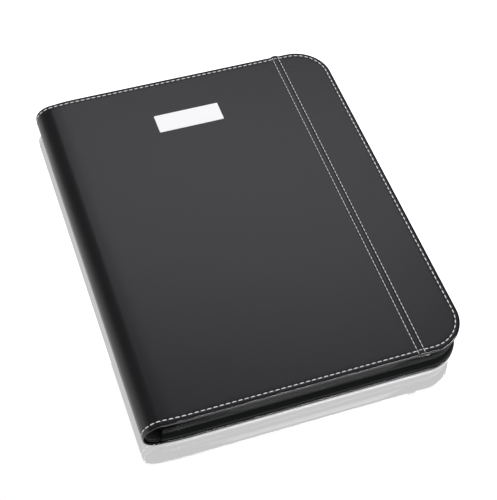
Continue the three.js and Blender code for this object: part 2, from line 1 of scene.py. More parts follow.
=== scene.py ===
"""Looks of a zippered portfolio: two padded leather covers joined by a half-round spine, white
stitching, a puffed strip and a bare plate on the front, a coil zip with its slider and pull, and
inside them the linings, a writing pad in its sleeve and an organiser. Everything is in metres, in
the frame of the part: the closed case lies on its back cover, its spine at -X, its head at +Y."""

import json
import math
import random
from bisect import bisect_left
from typing import NamedTuple

import bmesh
import bpy
from bpy.props import FloatProperty, FloatVectorProperty, PointerProperty
from mathutils import Matrix, Vector


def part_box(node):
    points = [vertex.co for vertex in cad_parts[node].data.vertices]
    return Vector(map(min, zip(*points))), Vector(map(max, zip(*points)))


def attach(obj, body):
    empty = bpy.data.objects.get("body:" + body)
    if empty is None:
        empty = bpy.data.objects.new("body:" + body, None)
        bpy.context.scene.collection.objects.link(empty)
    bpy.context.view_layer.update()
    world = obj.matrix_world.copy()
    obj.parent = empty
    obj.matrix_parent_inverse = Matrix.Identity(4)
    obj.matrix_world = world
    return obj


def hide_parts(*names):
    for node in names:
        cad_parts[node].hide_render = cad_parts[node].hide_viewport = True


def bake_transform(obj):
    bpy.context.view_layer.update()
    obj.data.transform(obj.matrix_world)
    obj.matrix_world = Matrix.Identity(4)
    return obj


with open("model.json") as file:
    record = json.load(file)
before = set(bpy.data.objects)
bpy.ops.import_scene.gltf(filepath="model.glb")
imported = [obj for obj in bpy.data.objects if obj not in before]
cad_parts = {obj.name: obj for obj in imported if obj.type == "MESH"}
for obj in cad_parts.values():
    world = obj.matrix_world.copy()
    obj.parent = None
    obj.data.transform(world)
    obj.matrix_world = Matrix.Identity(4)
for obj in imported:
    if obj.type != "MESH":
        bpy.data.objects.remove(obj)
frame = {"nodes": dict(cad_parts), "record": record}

bl_info = {
    "name": "Zippered portfolio",
    "version": (1, 0, 0),
    "blender": (4, 5, 0),
    "location": "View3D > Sidebar > Portfolio",
    "description": "Builds a padded zip-round portfolio case with its writing pad and organiser",
    "category": "Object",
}

FLAT_MAP = "Flat"
CLOSE = 1e-6

BACK_LOW, BACK_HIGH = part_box("back_cover_leather")
FRONT_LOW, FRONT_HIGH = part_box("front_cover_leather")
SPINE_LOW, SPINE_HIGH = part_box("spine_leather")
BAND_LOW, BAND_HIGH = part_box("seam_band")


def length_prop(name, description, default):
    """A size in metres that a user may change."""
    return FloatProperty(name=name, description=description, default=default, min=0, unit="LENGTH",
                         precision=5)


def colour_prop(name, description, default):
    """A colour that a user may change."""
    return FloatVectorProperty(name=name, description=description, default=default, size=3,
                               min=0, max=1, subtype="COLOR")


class CaseSizes(bpy.types.PropertyGroup):
    """Sizes of the covers, the spine and their stitching."""

    corner_radius: length_prop("Corner radius", "Radius of the covers' fore-edge corners", 0.0315)
    draw_length: length_prop("Draw-in length", "How far from the spine the edges draw in", 0.025)
    arris: length_prop("Arris", "Radius of the leather's outer edge", 0.0007)
    skin: length_prop("Leather thickness", "Thickness of the cover leather", 0.0006)
    spine_rim: length_prop("Spine edge", "Thickness of the turned edge at the spine's ends", 0.00135)
    facet: length_prop("Mesh step", "Distance between mesh lines along the edges", 0.001)
    stitch_inset: length_prop("Stitch inset", "Distance of the stitching from the edge", 0.0038)
    stitch_pitch: length_prop("Stitch pitch", "Distance between needle holes round the covers", 0.00495)
    band_pitch: length_prop("Strip stitch pitch", "Distance between needle holes on the strip", 0.00415)
    thread: length_prop("Thread", "Width of the sewing thread", 0.00086)
    edge_drop: length_prop("Edge drop", "How far the leather falls from the stitching to the edge", 0.0005)
    groove: length_prop("Stitch groove", "How deep the stitching pulls the leather in", 0.00024)
    shoulder: length_prop("Shoulder sink", "How far the leather rolls off beside the spine", 0.001)


class ZipSizes(bpy.types.PropertyGroup):
    """Sizes of the zip."""

    pitch: length_prop("Coil pitch", "Distance between the turns of the coil", 0.00165)
    wire: length_prop("Coil wire", "Diameter of the coil's nylon wire", 0.00076)
    tape: length_prop("Tape thickness", "Thickness of the woven tape", 0.0005)
    tuck: length_prop("Tape tuck", "How far the tapes turn into the spine at the tail", 0.006)
    draw_in: length_prop("Draw-in", "How far under the rim the upper tape lies at its ends", 0.0034)
    swell_start: length_prop("Swell start", "Over what length from the spine the upper tape swells out", 0.07)
    swell_end: length_prop("Swell end", "Over what length before the corner it draws in again", 0.045)


class Finishes(bpy.types.PropertyGroup):
    """Colours of the finishes."""

    leather: colour_prop("Leather", "Black coated leather", (0.0078, 0.0076, 0.0088))
    thread: colour_prop("Thread", "White sewing thread", (0.92, 0.92, 0.92))
    tape: colour_prop("Zip tape", "Woven zip tape", (0.006, 0.007, 0.0064))
    coil: colour_prop("Coil", "Nylon coil", (0.03, 0.032, 0.0305))
    lining: colour_prop("Lining", "Woven lining", (0.018, 0.018, 0.0205))
    foam: colour_prop("Foam", "Padding foam", (0.58, 0.55, 0.46))
    board: colour_prop("Board", "Grey board", (0.32, 0.23, 0.13))
    plastic: colour_prop("Stiffener", "Plastic sheet in the spine", (0.02, 0.02, 0.02))
    plate: colour_prop("Plate", "White painted metal", (0.96, 0.96, 0.95))
    metal: colour_prop("Metal", "Bright nickel", (0.62, 0.63, 0.65))
    paper: colour_prop("Paper", "Uncoated paper", (0.86, 0.85, 0.81))
    rule: colour_prop("Ruled lines", "Printed lines of the pad", (0.35, 0.5, 0.68))
    elastic: colour_prop("Elastic", "Ribbed elastic", (0.012, 0.012, 0.014))


class StageSettings(bpy.types.PropertyGroup):
    """Lamps and floor."""

    lamp_colour: colour_prop("Lamp colour", "Cool light of the soft boxes", (0.95, 0.93, 1.0))
    back_lamp: FloatProperty(name="Back lamp", description="Power of the soft box behind the case",
                             default=3.7, min=0, unit="POWER")
    front_lamp: FloatProperty(name="Front lamp", description="Power of each of the two strips in front",
                              default=24.0, min=0, unit="POWER")
    ambient: FloatProperty(name="Ambient", description="Even light from all round", default=0.85, min=0)
    mirrored_room: FloatProperty(name="Mirrored room",
                                 description="How bright the dark end of the room mirrors",
                                 default=0.12, min=0)
    floor_gloss: FloatProperty(name="Floor gloss", description="Share of the floor that mirrors",
                               default=0.44, min=0, max=1, subtype="FACTOR")


def settings():
    """The groups of settings on the scene."""
    return bpy.context.scene.portfolio


def spread(start, end, step):
    """Even values from start to end, about step apart."""
    count = max(1, round(abs(end - start) / step))
    return [start + (end - start) * index / count for index in range(count + 1)]


def spread_marks(marks, step):
    """Even values between each mark and the next."""
    values = [marks[0]]
    for start, end in zip(marks, marks[1:]):
        values += spread(start, end, step)[1:]
    return values


def eased(value):
    """Smooth step from 0 to 1."""
    value = min(max(value, 0), 1)
    return value * value * (3 - 2 * value)


def smooth_through(points, steps):
    """A smooth curve through points, with steps values between each and the next."""
    padded = [points[0], *points, points[-1]]
    curve = [points[0]]
    for index in range(1, len(padded) - 2):
        before, start, end, after = padded[index - 1:index + 3]
        for step in range(1, steps + 1):
            t = step / steps
            curve.append(0.5 * ((2 * start) + (end - before) * t
                                + (2 * before - 5 * start + 4 * end - after) * t * t
                                + (3 * start - before - 3 * end + after) * t ** 3))
    return curve


class Station(NamedTuple):
    """A place on the free edge: its point in the flattened leather, the way out of the case, and
    the length of the stitch line up to it."""

    point: Vector
    out: Vector
    length: float


class Plan:
    """Plan of the case in its flattened leather. Run is the distance round from the spine's
    outermost line, and y the place along the spine."""

    def __init__(self, sizes):
        self.top = FRONT_HIGH.z
        self.mid = self.top / 2
        self.rim = BACK_HIGH.z
        self.half = BACK_HIGH.y
        self.spine_x = BACK_LOW.x
        self.radius = BACK_LOW.x - SPINE_LOW.x
        self.quarter = self.radius * math.pi / 2
        self.end = self.run_at(BACK_HIGH.x)
        self.draw = BACK_HIGH.y - SPINE_HIGH.y
        self.draw_length = sizes.draw_length
        self.corner = sizes.corner_radius
        self.stitch_inset = sizes.stitch_inset
        self.seam = self.run_at((BAND_LOW.x + BAND_HIGH.x) / 2)
        self.seam_left = self.run_at(FRONT_HIGH.x)
        self.seam_right = 2 * self.seam - self.seam_left
        self.beyond_seam = self.seam_right + 0.002
        self.facet = sizes.facet

    def run_at(self, x):
        return x - self.spine_x + self.quarter

    def half_length(self, run, share=1):
        """Half the length of the covers; they draw in beside the spine on an arc."""
        reach = min(max(self.quarter + self.draw_length - run, 0), self.draw_length)
        radius = (self.draw_length ** 2 + self.draw ** 2) / (2 * self.draw)
        return self.half - share * (radius - math.sqrt(radius ** 2 - reach ** 2))

    def edge(self, marks, step, share=1):
        """Stations from the first mark along the tail, round the fore-edge and back."""
        corner_run = self.end - self.corner
        straight = self.half - self.corner
        tail = [(Vector((run, -self.half_length(run, share))), Vector((0, -1)))
                for run in spread_marks([*marks, corner_run], step)]
        for angle in spread(-math.pi / 2, 0, step / self.corner)[1:]:
            out = Vector((math.cos(angle), math.sin(angle)))
            tail.append((Vector((corner_run, -straight)) + self.corner * out, out))
        fore = [(Vector((self.end, y)), Vector((1, 0))) for y in spread(-straight, straight, step)[1:-1]]
        head = [(Vector((p.x, -p.y)), Vector((out.x, -out.y))) for p, out in reversed(tail)]
        length = 0
        stations = []
        previous = None
        for point, out in tail + fore + head:
            stitch = point - out * self.stitch_inset
            if previous:
                length += (stitch - previous).length
            previous = stitch
            stations.append(Station(point, out, length))
        return stations

    def leather_edge(self):
        """Stations of the leather, with mesh lines where the spine and the front panels end and
        just beyond the joint of the panels."""
        return self.edge([0, self.quarter, self.seam_left, self.seam_right, self.beyond_seam], self.facet)

    def wrap(self, flat, depth, side):
        """Point in the case for a point of the flattened leather, at a depth below the outer
        face; side is 1 for the front and -1 for the back."""
        angle = min(flat.x / self.radius, math.pi / 2)
        radius = self.radius - depth
        x = self.spine_x - radius * math.cos(angle) + max(flat.x - self.quarter, 0)
        return Vector((x, flat.y, self.mid + side * radius * math.sin(angle)))

    def way_out(self, flat, side):
        """Direction out of the outer face."""
        angle = min(flat.x / self.radius, math.pi / 2)
        return Vector((-math.cos(angle), 0, side * math.sin(angle)))


class Line:
    """A line in the flattened leather that gives its point at any length."""

    def __init__(self, points):
        self.points = points
        self.lengths = [0]
        for start, end in zip(points, points[1:]):
            self.lengths.append(self.lengths[-1] + (end - start).length)
        self.total = self.lengths[-1]

    def at(self, length):
        index = min(max(bisect_left(self.lengths, length), 1), len(self.points) - 1)
        start, end = self.points[index - 1:index + 1]
        share = (length - self.lengths[index - 1]) / (self.lengths[index] - self.lengths[index - 1])
        return start.lerp(end, share)


def along_tail(stations, start, end):
    """Stations along the tail edge, from one run to another."""
    return [s for s in stations[:len(stations) // 2] if start - CLOSE <= s.point.x <= end + CLOSE]


def round_fore_edge(stations, start):
    """Stations from a run at the tail, round the fore-edge and back to it at the head."""
    return [s for s in stations if s.point.x >= start - CLOSE]


def map_grid(bm, columns, rows, place, finish_of=None):
    """A grid moved to place(column, row), which gives each point and its place in the flat map.
    finish_of(column, row) gives the material's index of the face that starts there."""
    made = bmesh.ops.create_grid(bm, x_segments=columns - 1, y_segments=rows - 1, size=1)
    flat = bm.loops.layers.uv.get(FLAT_MAP) or bm.loops.layers.uv.new(FLAT_MAP)
    places = {}
    for vert in made["verts"]:
        column = round((vert.co.x + 1) / 2 * (columns - 1))
        row = round((vert.co.y + 1) / 2 * (rows - 1))
        places[vert] = place(column, row)
    for face in {face for vert in made["verts"] for face in vert.link_faces}:
        for loop in face.loops:
            loop[flat].uv = places[loop.vert][1]
        if finish_of:
            column = round((min(vert.co.x for vert in face.verts) + 1) / 2 * (columns - 1))
            row = round((min(vert.co.y for vert in face.verts) + 1) / 2 * (rows - 1))
            face.material_index = finish_of(column, row)
    for vert, (point, _) in places.items():
        vert.co = point
    return made["verts"]


def close_tube(bm, verts):
    """Welds the long seam of a rolled grid and closes its ends."""
    bmesh.ops.remove_doubles(bm, verts=verts, dist=1e-7)
    ends = [edge for edge in bm.edges if edge.is_boundary]
    bmesh.ops.holes_fill(bm, edges=ends, sides=0)


def tube(bm, centres, outs, ups, radius_out, radius_up, sides):
    """A tube round centres, with an oval section along its outs and ups."""
    def place(column, row):
        angle = 2 * math.pi * row / sides
        offset = outs[column] * (radius_out * math.cos(angle)) + ups[column] * (radius_up * math.sin(angle))
        return centres[column] + offset, (column * radius_out, row * radius_out)
    verts = map_grid(bm, len(centres), sides + 1, place)
    close_tube(bm, verts)


def face_way(bm, way):
    """Turns an open sheet so that most of it faces a way."""
    area = sum((face.normal * face.calc_area() for face in bm.faces), Vector())
    if area.dot(Vector(way)) < 0:
        bmesh.ops.reverse_faces(bm, faces=bm.faces)


def finish_piece(name, bm, material, body=None, slot=None, nodes=(), smooth=True, tidy=True, way=None):
    """Makes the object of a bmesh, hangs it on the body it rides on, and hides the imported parts that it
    replaces.
    """
    if tidy:
        bmesh.ops.remove_doubles(bm, verts=bm.verts, dist=1e-7)
        bmesh.ops.recalc_face_normals(bm, faces=bm.faces)
    if way:
        face_way(bm, way)
    for face in bm.faces:
        face.smooth = smooth
    mesh = bpy.data.meshes.new(name)
    bm.to_mesh(mesh)
    bm.free()
    piece = bpy.data.objects.new(name, mesh)
    bpy.context.scene.collection.objects.link(piece)
    for finish in (material if isinstance(material, list) else [material]):
        mesh.materials.append(finish)
    if body:
        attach(piece, body)
    if nodes:
        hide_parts(*nodes)
    return piece


def thicken(piece, thickness):
    """Gives a sheet its thickness, inwards."""
    modifier = piece.modifiers.new("Thickness", "SOLIDIFY")
    modifier.thickness = thickness
    modifier.offset = -1
    modifier.use_even_offset = True
    return piece


def soften(piece, width, segments=3):
    """Rounds the sharp edges of a hard piece."""
    modifier = piece.modifiers.new("Edges", "BEVEL")
    modifier.width = width
    modifier.segments = segments
    modifier.limit_method = "ANGLE"
    modifier.angle_limit = math.radians(35)
    modifier.harden_normals = True
    return piece


# Node groups and materials

WALL_SHINES = 3


class Nodes:
    """Short way to add nodes to a tree and join them."""

    def __init__(self, tree):
        self.tree = tree
        tree.nodes.clear()

    def add(self, kind, **values):
        node = self.tree.nodes.new(kind)
        for name, value in values.items():
            if hasattr(node, name):
                setattr(node, name, value)
            else:
                node.inputs[name.replace("_", " ")].default_value = value
        return node

    def link(self, source, target):
        self.tree.links.new(source, target)

    def maths(self, operation, first, second=None):
        node = self.add("ShaderNodeMath", operation=operation)
        for socket, value in zip(node.inputs, (first, second)):
            if isinstance(value, (int, float)):
                socket.default_value = value
            elif value is not None:
                self.link(value, socket)
        return node.outputs[0]

    def blend(self, factor, first, second):
        node = self.add("ShaderNodeMix", data_type="RGBA")
        for socket, value in zip((node.inputs["Factor"], node.inputs[6], node.inputs[7]),
                                 (factor, first, second)):
            if isinstance(value, (int, float)):
                socket.default_value = value
            elif isinstance(value, (tuple, list)):
                socket.default_value = (*value, 1)
            else:
                self.link(value, socket)
        return node.outputs[2]


def node_group(name, inputs, outputs):
    """A shader node group with named sockets; returns its helper and its two end nodes."""
    group = bpy.data.node_groups.new(name, "ShaderNodeTree")
    for socket, kind, default in inputs:
        made = group.interface.new_socket(name=socket, in_out="INPUT", socket_type=kind)
        if default is not None:
            made.default_value = default
    for socket, kind in outputs:
        group.interface.new_socket(name=socket, in_out="OUTPUT", socket_type=kind)
    nodes = Nodes(group)
    return nodes, nodes.add("NodeGroupInput"), nodes.add("NodeGroupOutput")


def leather_grain():
    """Pebbled grain of coated leather: fine cells with creases between, over soft waves."""
    nodes, start, end = node_group("Leather grain", [
        ("Vector", "NodeSocketVector", None), ("Cell", "NodeSocketFloat", 0.0009),
        ("Waves", "NodeSocketFloat", 1.2)],
        [("Height", "NodeSocketFloat"), ("Creases", "NodeSocketFloat"), ("Patches", "NodeSocketFloat")])
    scaled = nodes.add("ShaderNodeVectorMath", operation="SCALE")
    nodes.link(start.outputs["Vector"], scaled.inputs[0])
    nodes.link(nodes.maths("DIVIDE", 1, start.outputs["Cell"]), scaled.inputs["Scale"])
    cells = nodes.add("ShaderNodeTexVoronoi", feature="SMOOTH_F1", voronoi_dimensions="2D",
                      Scale=1.0, Smoothness=0.35, Randomness=0.9)
    pores = nodes.add("ShaderNodeTexNoise", Scale=2.6, Detail=3.0, Roughness=0.6)
    waves = nodes.add("ShaderNodeTexNoise", Scale=0.2, Detail=3.0, Roughness=0.5)
    for texture in (cells, pores, waves):
        nodes.link(scaled.outputs[0], texture.inputs["Vector"])
    cell = nodes.maths("POWER", cells.outputs["Distance"], 1.6)
    height = nodes.maths("SUBTRACT", nodes.maths("MULTIPLY", pores.outputs["Fac"], 0.35), cell)
    wave = nodes.maths("MULTIPLY", waves.outputs["Fac"], start.outputs["Waves"])
    nodes.link(nodes.maths("ADD", height, wave), end.inputs["Height"])
    nodes.link(nodes.maths("MULTIPLY", cell, 1.4), end.inputs["Creases"])
    nodes.link(waves.outputs["Fac"], end.inputs["Patches"])
    return nodes.tree


def weave():
    """Plain weave of round yarns, each passing over one and under the next; its second output masks the painted
    shade in the gaps between the yarns.
    """
    nodes, start, end = node_group("Weave", [
        ("Vector", "NodeSocketVector", None), ("Yarn", "NodeSocketFloat", 0.0005)],
        [("Height", "NodeSocketFloat"), ("Gap shade", "NodeSocketFloat")])
    split = nodes.add("ShaderNodeSeparateXYZ")
    nodes.link(start.outputs["Vector"], split.inputs[0])
    counts = [nodes.maths("DIVIDE", split.outputs[axis], start.outputs["Yarn"]) for axis in (0, 1)]
    ridges = [nodes.maths("ABSOLUTE", nodes.maths("SINE", nodes.maths("MULTIPLY", count, math.pi)))
              for count in counts]
    cells = nodes.maths("ADD", *[nodes.maths("FLOOR", count) for count in counts])
    over = nodes.maths("MODULO", nodes.maths("ABSOLUTE", cells), 2)
    mixed = nodes.add("ShaderNodeMix", data_type="FLOAT")
    nodes.link(over, mixed.inputs["Factor"])
    nodes.link(ridges[0], mixed.inputs[2])
    nodes.link(ridges[1], mixed.inputs[3])
    height = nodes.maths("POWER", mixed.outputs[0], 0.6)
    nodes.link(height, end.inputs["Height"])
    nodes.link(nodes.maths("SUBTRACT", 1, height), end.inputs["Gap shade"])
    return nodes.tree


def wear():
    """Small scuffs and dust specks, as a mask."""
    nodes, start, end = node_group("Wear", [("Vector", "NodeSocketVector", None),
                                            ("Amount", "NodeSocketFloat", 0.5)],
                                   [("Mask", "NodeSocketFloat")])
    specks = nodes.add("ShaderNodeTexNoise", Scale=900.0, Detail=4.0, Roughness=0.7)
    nodes.link(start.outputs["Vector"], specks.inputs["Vector"])
    raised = nodes.maths("SUBTRACT", specks.outputs["Fac"], 0.62)
    nodes.link(nodes.maths("MULTIPLY", nodes.maths("MAXIMUM", raised, 0), start.outputs["Amount"]),
               end.inputs["Mask"])
    return nodes.tree


def shared_group(name, make):
    """The node group of that name, made the first time it is needed."""
    return bpy.data.node_groups.get(name) or make()


def new_material(name, colour, roughness, metallic=0.0, specular=0.5):
    """A material with its Principled shader; returns it with its node helper and shader."""
    material = bpy.data.materials.new(name)
    material.use_nodes = True
    material.diffuse_color = (*colour, 1)
    nodes = Nodes(material.node_tree)
    shader = nodes.add("ShaderNodeBsdfPrincipled")
    shader.inputs["Base Color"].default_value = (*colour, 1)
    shader.inputs["Roughness"].default_value = roughness
    shader.inputs["Metallic"].default_value = metallic
    shader.inputs["Specular IOR Level"].default_value = specular
    output = nodes.add("ShaderNodeOutputMaterial")
    nodes.link(shader.outputs[0], output.inputs["Surface"])
    return material, nodes, shader


def flat_coordinates(nodes):
    """The piece's own flat map, in metres."""
    return nodes.add("ShaderNodeUVMap", uv_map=FLAT_MAP).outputs["UV"]


def object_coordinates(nodes):
    return nodes.add("ShaderNodeTexCoord").outputs["Object"]


def add_bump(nodes, shader, height, distance, strength=1.0):
    bump = nodes.add("ShaderNodeBump", Strength=strength, Distance=distance)
    nodes.link(height, bump.inputs["Height"])
    nodes.link(bump.outputs[0], shader.inputs["Normal"])


def varied_roughness(nodes, shader, mask, low, high):
    spread_out = nodes.add("ShaderNodeMapRange", To_Min=low, To_Max=high)
    nodes.link(mask, spread_out.inputs["Value"])
    nodes.link(spread_out.outputs[0], shader.inputs["Roughness"])


def leather_material(name="leather_black", cell=0.0009, distance=0.00005, rough=(0.26, 0.38), specular=0.5):
    """Black coated leather with fine grain."""
    colour = settings().finishes.leather
    material, nodes, shader = new_material(name, colour, rough[0], specular=specular)
    vector = flat_coordinates(nodes)
    grain = nodes.add("ShaderNodeGroup", node_tree=shared_group("Leather grain", leather_grain))
    grain.inputs["Cell"].default_value = cell
    nodes.link(vector, grain.inputs["Vector"])
    scuffs = nodes.add("ShaderNodeGroup", node_tree=shared_group("Wear", wear))
    nodes.link(vector, scuffs.inputs["Vector"])
    tinted = nodes.blend(grain.outputs["Patches"], tuple(c * 0.8 for c in colour),
                         tuple(c * 1.25 for c in colour))
    scuffed = nodes.blend(scuffs.outputs["Mask"], tinted, (0.12, 0.12, 0.125))
    nodes.link(scuffed, shader.inputs["Base Color"])
    varied_roughness(nodes, shader, grain.outputs["Creases"], *rough)
    add_bump(nodes, shader, grain.outputs["Height"], distance)
    return material


def cloth_material(name, colour, yarn, distance, roughness=0.85, sheen=0.05, specular=0.16):
    """Woven cloth whose yarns follow the piece's flat map, with painted shade in the gaps between the yarns and a
    painted highlight on their crowns.
    """
    material, nodes, shader = new_material(name, colour, roughness, specular=specular)
    shader.inputs["Sheen Weight"].default_value = sheen
    shader.inputs["Sheen Roughness"].default_value = 0.4
    cloth = nodes.add("ShaderNodeGroup", node_tree=shared_group("Weave", weave))
    cloth.inputs["Yarn"].default_value = yarn
    nodes.link(flat_coordinates(nodes), cloth.inputs["Vector"])
    # Painted shade and highlight: darker in the gaps between yarns, lighter on the yarn crowns.
    shade = nodes.blend(cloth.outputs["Gap shade"], tuple(c * 1.2 for c in colour),
                        tuple(c * 0.45 for c in colour))
    nodes.link(shade, shader.inputs["Base Color"])
    add_bump(nodes, shader, cloth.outputs["Height"], distance)
    return material


def thread_material(name, colour):
    """Sewing thread, twisted from plies, with painted shade in the grooves between them."""
    material, nodes, shader = new_material(name, colour, 0.6, specular=0.3)
    shader.inputs["Sheen Weight"].default_value = 0.2
    split = nodes.add("ShaderNodeSeparateXYZ")
    nodes.link(flat_coordinates(nodes), split.inputs[0])
    slant = nodes.maths("ADD", split.outputs[0], nodes.maths("MULTIPLY", split.outputs[1], 0.8))
    ply = nodes.maths("ABSOLUTE", nodes.maths("SINE", nodes.maths("MULTIPLY", slant, math.pi / 0.0006)))
    # Painted shade: the thread is darker in the grooves between its plies.
    shade = nodes.blend(ply, tuple(c * 0.78 for c in colour), tuple(colour))
    nodes.link(shade, shader.inputs["Base Color"])
    add_bump(nodes, shader, ply, 0.00008)
    return material


def metal_material():
    """Bright nickel with faint handling marks."""
    colour = settings().finishes.metal
    material, nodes, shader = new_material("bright_nickel", colour, 0.2, metallic=1.0)
    marks = nodes.add("ShaderNodeTexNoise", Scale=1400.0, Detail=5.0, Roughness=0.65)
    nodes.link(object_coordinates(nodes), marks.inputs["Vector"])
    varied_roughness(nodes, shader, marks.outputs["Fac"], 0.14, 0.32)
    add_bump(nodes, shader, marks.outputs["Fac"], 0.00001)
    return material


def plate_material():
    """White paint on metal, with the faint ripple of a sprayed coat."""
    colour = settings().finishes.plate
    material, nodes, shader = new_material("plate_white", colour, 0.32)
    ripple = nodes.add("ShaderNodeTexNoise", Scale=600.0, Detail=2.0)
    nodes.link(object_coordinates(nodes), ripple.inputs["Vector"])
    varied_roughness(nodes, shader, ripple.outputs["Fac"], 0.26, 0.38)
    add_bump(nodes, shader, ripple.outputs["Fac"], 0.00002)
    return material


def coil_material():
    """Nylon wire with a satin shine."""
    colour = settings().finishes.coil
    material, nodes, shader = new_material("coil_nylon", colour, 0.3, specular=0.6)
    drawn = nodes.add("ShaderNodeTexNoise", Scale=2500.0, Detail=2.0)
    nodes.link(object_coordinates(nodes), drawn.inputs["Vector"])
    varied_roughness(nodes, shader, drawn.outputs["Fac"], 0.22, 0.36)
    add_bump(nodes, shader, drawn.outputs["Fac"], 0.00002)
    return material


def fibre_material(name, colour, scale, distance, roughness=0.9):
    """Pressed or foamed stuff: board, foam and plain paper."""
    material, nodes, shader = new_material(name, colour, roughness, specular=0.2)
    fibres = nodes.add("ShaderNodeTexNoise", Scale=scale, Detail=6.0, Roughness=0.7)
    nodes.link(object_coordinates(nodes), fibres.inputs["Vector"])
    shade = nodes.blend(fibres.outputs["Fac"], tuple(c * 0.8 for c in colour),
                        tuple(min(c * 1.2, 1) for c in colour))
    nodes.link(shade, shader.inputs["Base Color"])
    add_bump(nodes, shader, fibres.outputs["Fac"], distance)
    return material


def ruled_material(first_line, line_pitch, margin_x):
    """Paper with ruled lines across the sheet and a margin line."""
    finishes = settings().finishes
    material, nodes, shader = new_material("paper_ruled", finishes.paper, 0.85, specular=0.2)
    split = nodes.add("ShaderNodeSeparateXYZ")
    nodes.link(object_coordinates(nodes), split.inputs[0])
    below = nodes.maths("SUBTRACT", first_line, split.outputs[1])
    phase = nodes.maths("MODULO", nodes.maths("MAXIMUM", below, -line_pitch / 2), line_pitch)
    line = nodes.maths("LESS_THAN", nodes.maths("ABSOLUTE", phase), 0.0003)
    margin = nodes.maths("LESS_THAN",
                         nodes.maths("ABSOLUTE", nodes.maths("SUBTRACT", split.outputs[0], margin_x)), 0.0002)
    fibres = nodes.add("ShaderNodeTexNoise", Scale=700.0, Detail=5.0)
    nodes.link(object_coordinates(nodes), fibres.inputs["Vector"])
    sheet = nodes.blend(fibres.outputs["Fac"], tuple(c * 0.96 for c in finishes.paper), tuple(finishes.paper))
    ruled = nodes.blend(line, sheet, tuple(finishes.rule))
    nodes.link(nodes.blend(margin, ruled, (0.72, 0.3, 0.28)), shader.inputs["Base Color"])
    add_bump(nodes, shader, fibres.outputs["Fac"], 0.00003)
    return material


def page_edge_material():
    """Cut edges of many sheets."""
    colour = settings().finishes.paper
    material, nodes, shader = new_material("page_edges", colour, 0.9, specular=0.15)
    stretched = nodes.add("ShaderNodeMapping")
    stretched.inputs["Scale"].default_value = (20, 20, 9000)
    nodes.link(object_coordinates(nodes), stretched.inputs["Vector"])
    layers = nodes.add("ShaderNodeTexNoise", Scale=1.0, Detail=2.0)
    nodes.link(stretched.outputs[0], layers.inputs["Vector"])
    nodes.link(nodes.blend(layers.outputs["Fac"], tuple(c * 0.6 for c in colour), tuple(colour)),
               shader.inputs["Base Color"])
    add_bump(nodes, shader, layers.outputs["Fac"], 0.00005)
    return material


def elastic_material():
    """Ribbed elastic band, with painted shade in the grooves and painted highlights on the ribs."""
    colour = settings().finishes.elastic
    material, nodes, shader = new_material("elastic_ribbed", colour, 0.8, specular=0.25)
    split = nodes.add("ShaderNodeSeparateXYZ")
    nodes.link(flat_coordinates(nodes), split.inputs[0])
    ribs = nodes.maths("ABSOLUTE",
                       nodes.maths("SINE", nodes.maths("MULTIPLY", split.outputs[1], math.pi / 0.0011)))
    # Painted shade and highlight: darker in the grooves, lighter on the ribs.
    nodes.link(nodes.blend(ribs, tuple(c * 0.5 for c in colour), tuple(c * 1.5 for c in colour)),
               shader.inputs["Base Color"])
    add_bump(nodes, shader, ribs, 0.0003)
    return material


def finish(name):
    """The finished material of that name."""
    made = bpy.data.materials.get(name)
    if made:
        return made
    finishes = settings().finishes
    makers = {
        "leather_black": leather_material,
        "leather_arris": lambda: leather_material("leather_arris", distance=0.00001, rough=(0.12, 0.15)),
        "leather_tab": lambda: leather_material("leather_tab", rough=(0.6, 0.8), specular=0.15),
        "lining_cloth": lambda: cloth_material("lining_cloth", tuple(finishes.lining), 0.00055, 0.00012),
        "zip_tape_cloth": lambda: cloth_material("zip_tape_cloth", tuple(finishes.tape), 0.0006, 0.00016,
                                                 sheen=0, specular=0.06),
        "binding_cloth": lambda: cloth_material("binding_cloth", tuple(finishes.lining), 0.0004, 0.0001),
        "thread_white": lambda: thread_material("thread_white", tuple(finishes.thread)),
        "thread_black": lambda: thread_material("thread_black", tuple(c * 1.6 for c in finishes.lining)),
        "bright_nickel": metal_material,
        "plate_white": plate_material,
        "coil_nylon": coil_material,
        "padding_foam": lambda: fibre_material("padding_foam", tuple(finishes.foam), 1500, 0.0002),
        "grey_board": lambda: fibre_material("grey_board", tuple(finishes.board), 400, 0.0001),
        "stiffener_plastic": lambda: fibre_material("stiffener_plastic", tuple(finishes.plastic), 800,
                                                    0.00003, 0.5),
        "page_edges": page_edge_material,
        "elastic_ribbed": elastic_material,
    }
    for step in range(1, WALL_SHINES + 1):
        share = step / WALL_SHINES
        makers[f"zip_wall_cloth_{step}"] = lambda name=name, share=share: cloth_material(
            name, tuple(finishes.tape), 0.0009, 0.0001, 0.85 - 0.35 * share, 0, 0.06 + 0.14 * share)
    return makers[name]()


# Leather of the covers and the spine

UNDER = 0.0005
FLAP_RISE = 0.00005


def edge_rows(plan, sizes):
    """Section of the leather from its flap under the rim to the flat, as inset and depth. It
    falls away from the stitching to the edge."""
    arris = sizes.arris
    rows = [(0.0024, plan.rim - FLAP_RISE), (0.0012, plan.rim), (UNDER, plan.rim)]
    for angle in spread(0, math.pi / 2, math.pi / 6)[1:]:
        rows.append((UNDER * (1 - math.sin(angle)), plan.rim - UNDER * (1 - math.cos(angle))))
    rows.append((0, (plan.rim - UNDER + arris) / 2))
    slope = math.atan2(sizes.edge_drop, sizes.stitch_inset - arris)
    for angle in spread(0, math.pi / 2 - slope, math.pi / 10):
        rows.append((arris * (1 - math.cos(angle)), sizes.edge_drop + arris * (1 - math.sin(angle))))
    for inset in (0.0014, 0.002, 0.0025, 0.003, 0.0034, 0.0038, 0.0044, 0.0052, 0.0065, 0.0085, 0.011):
        share = max(0, 1 - (inset - arris) / (sizes.stitch_inset - arris))
        rows.append((inset, sizes.edge_drop * share))
    return rows


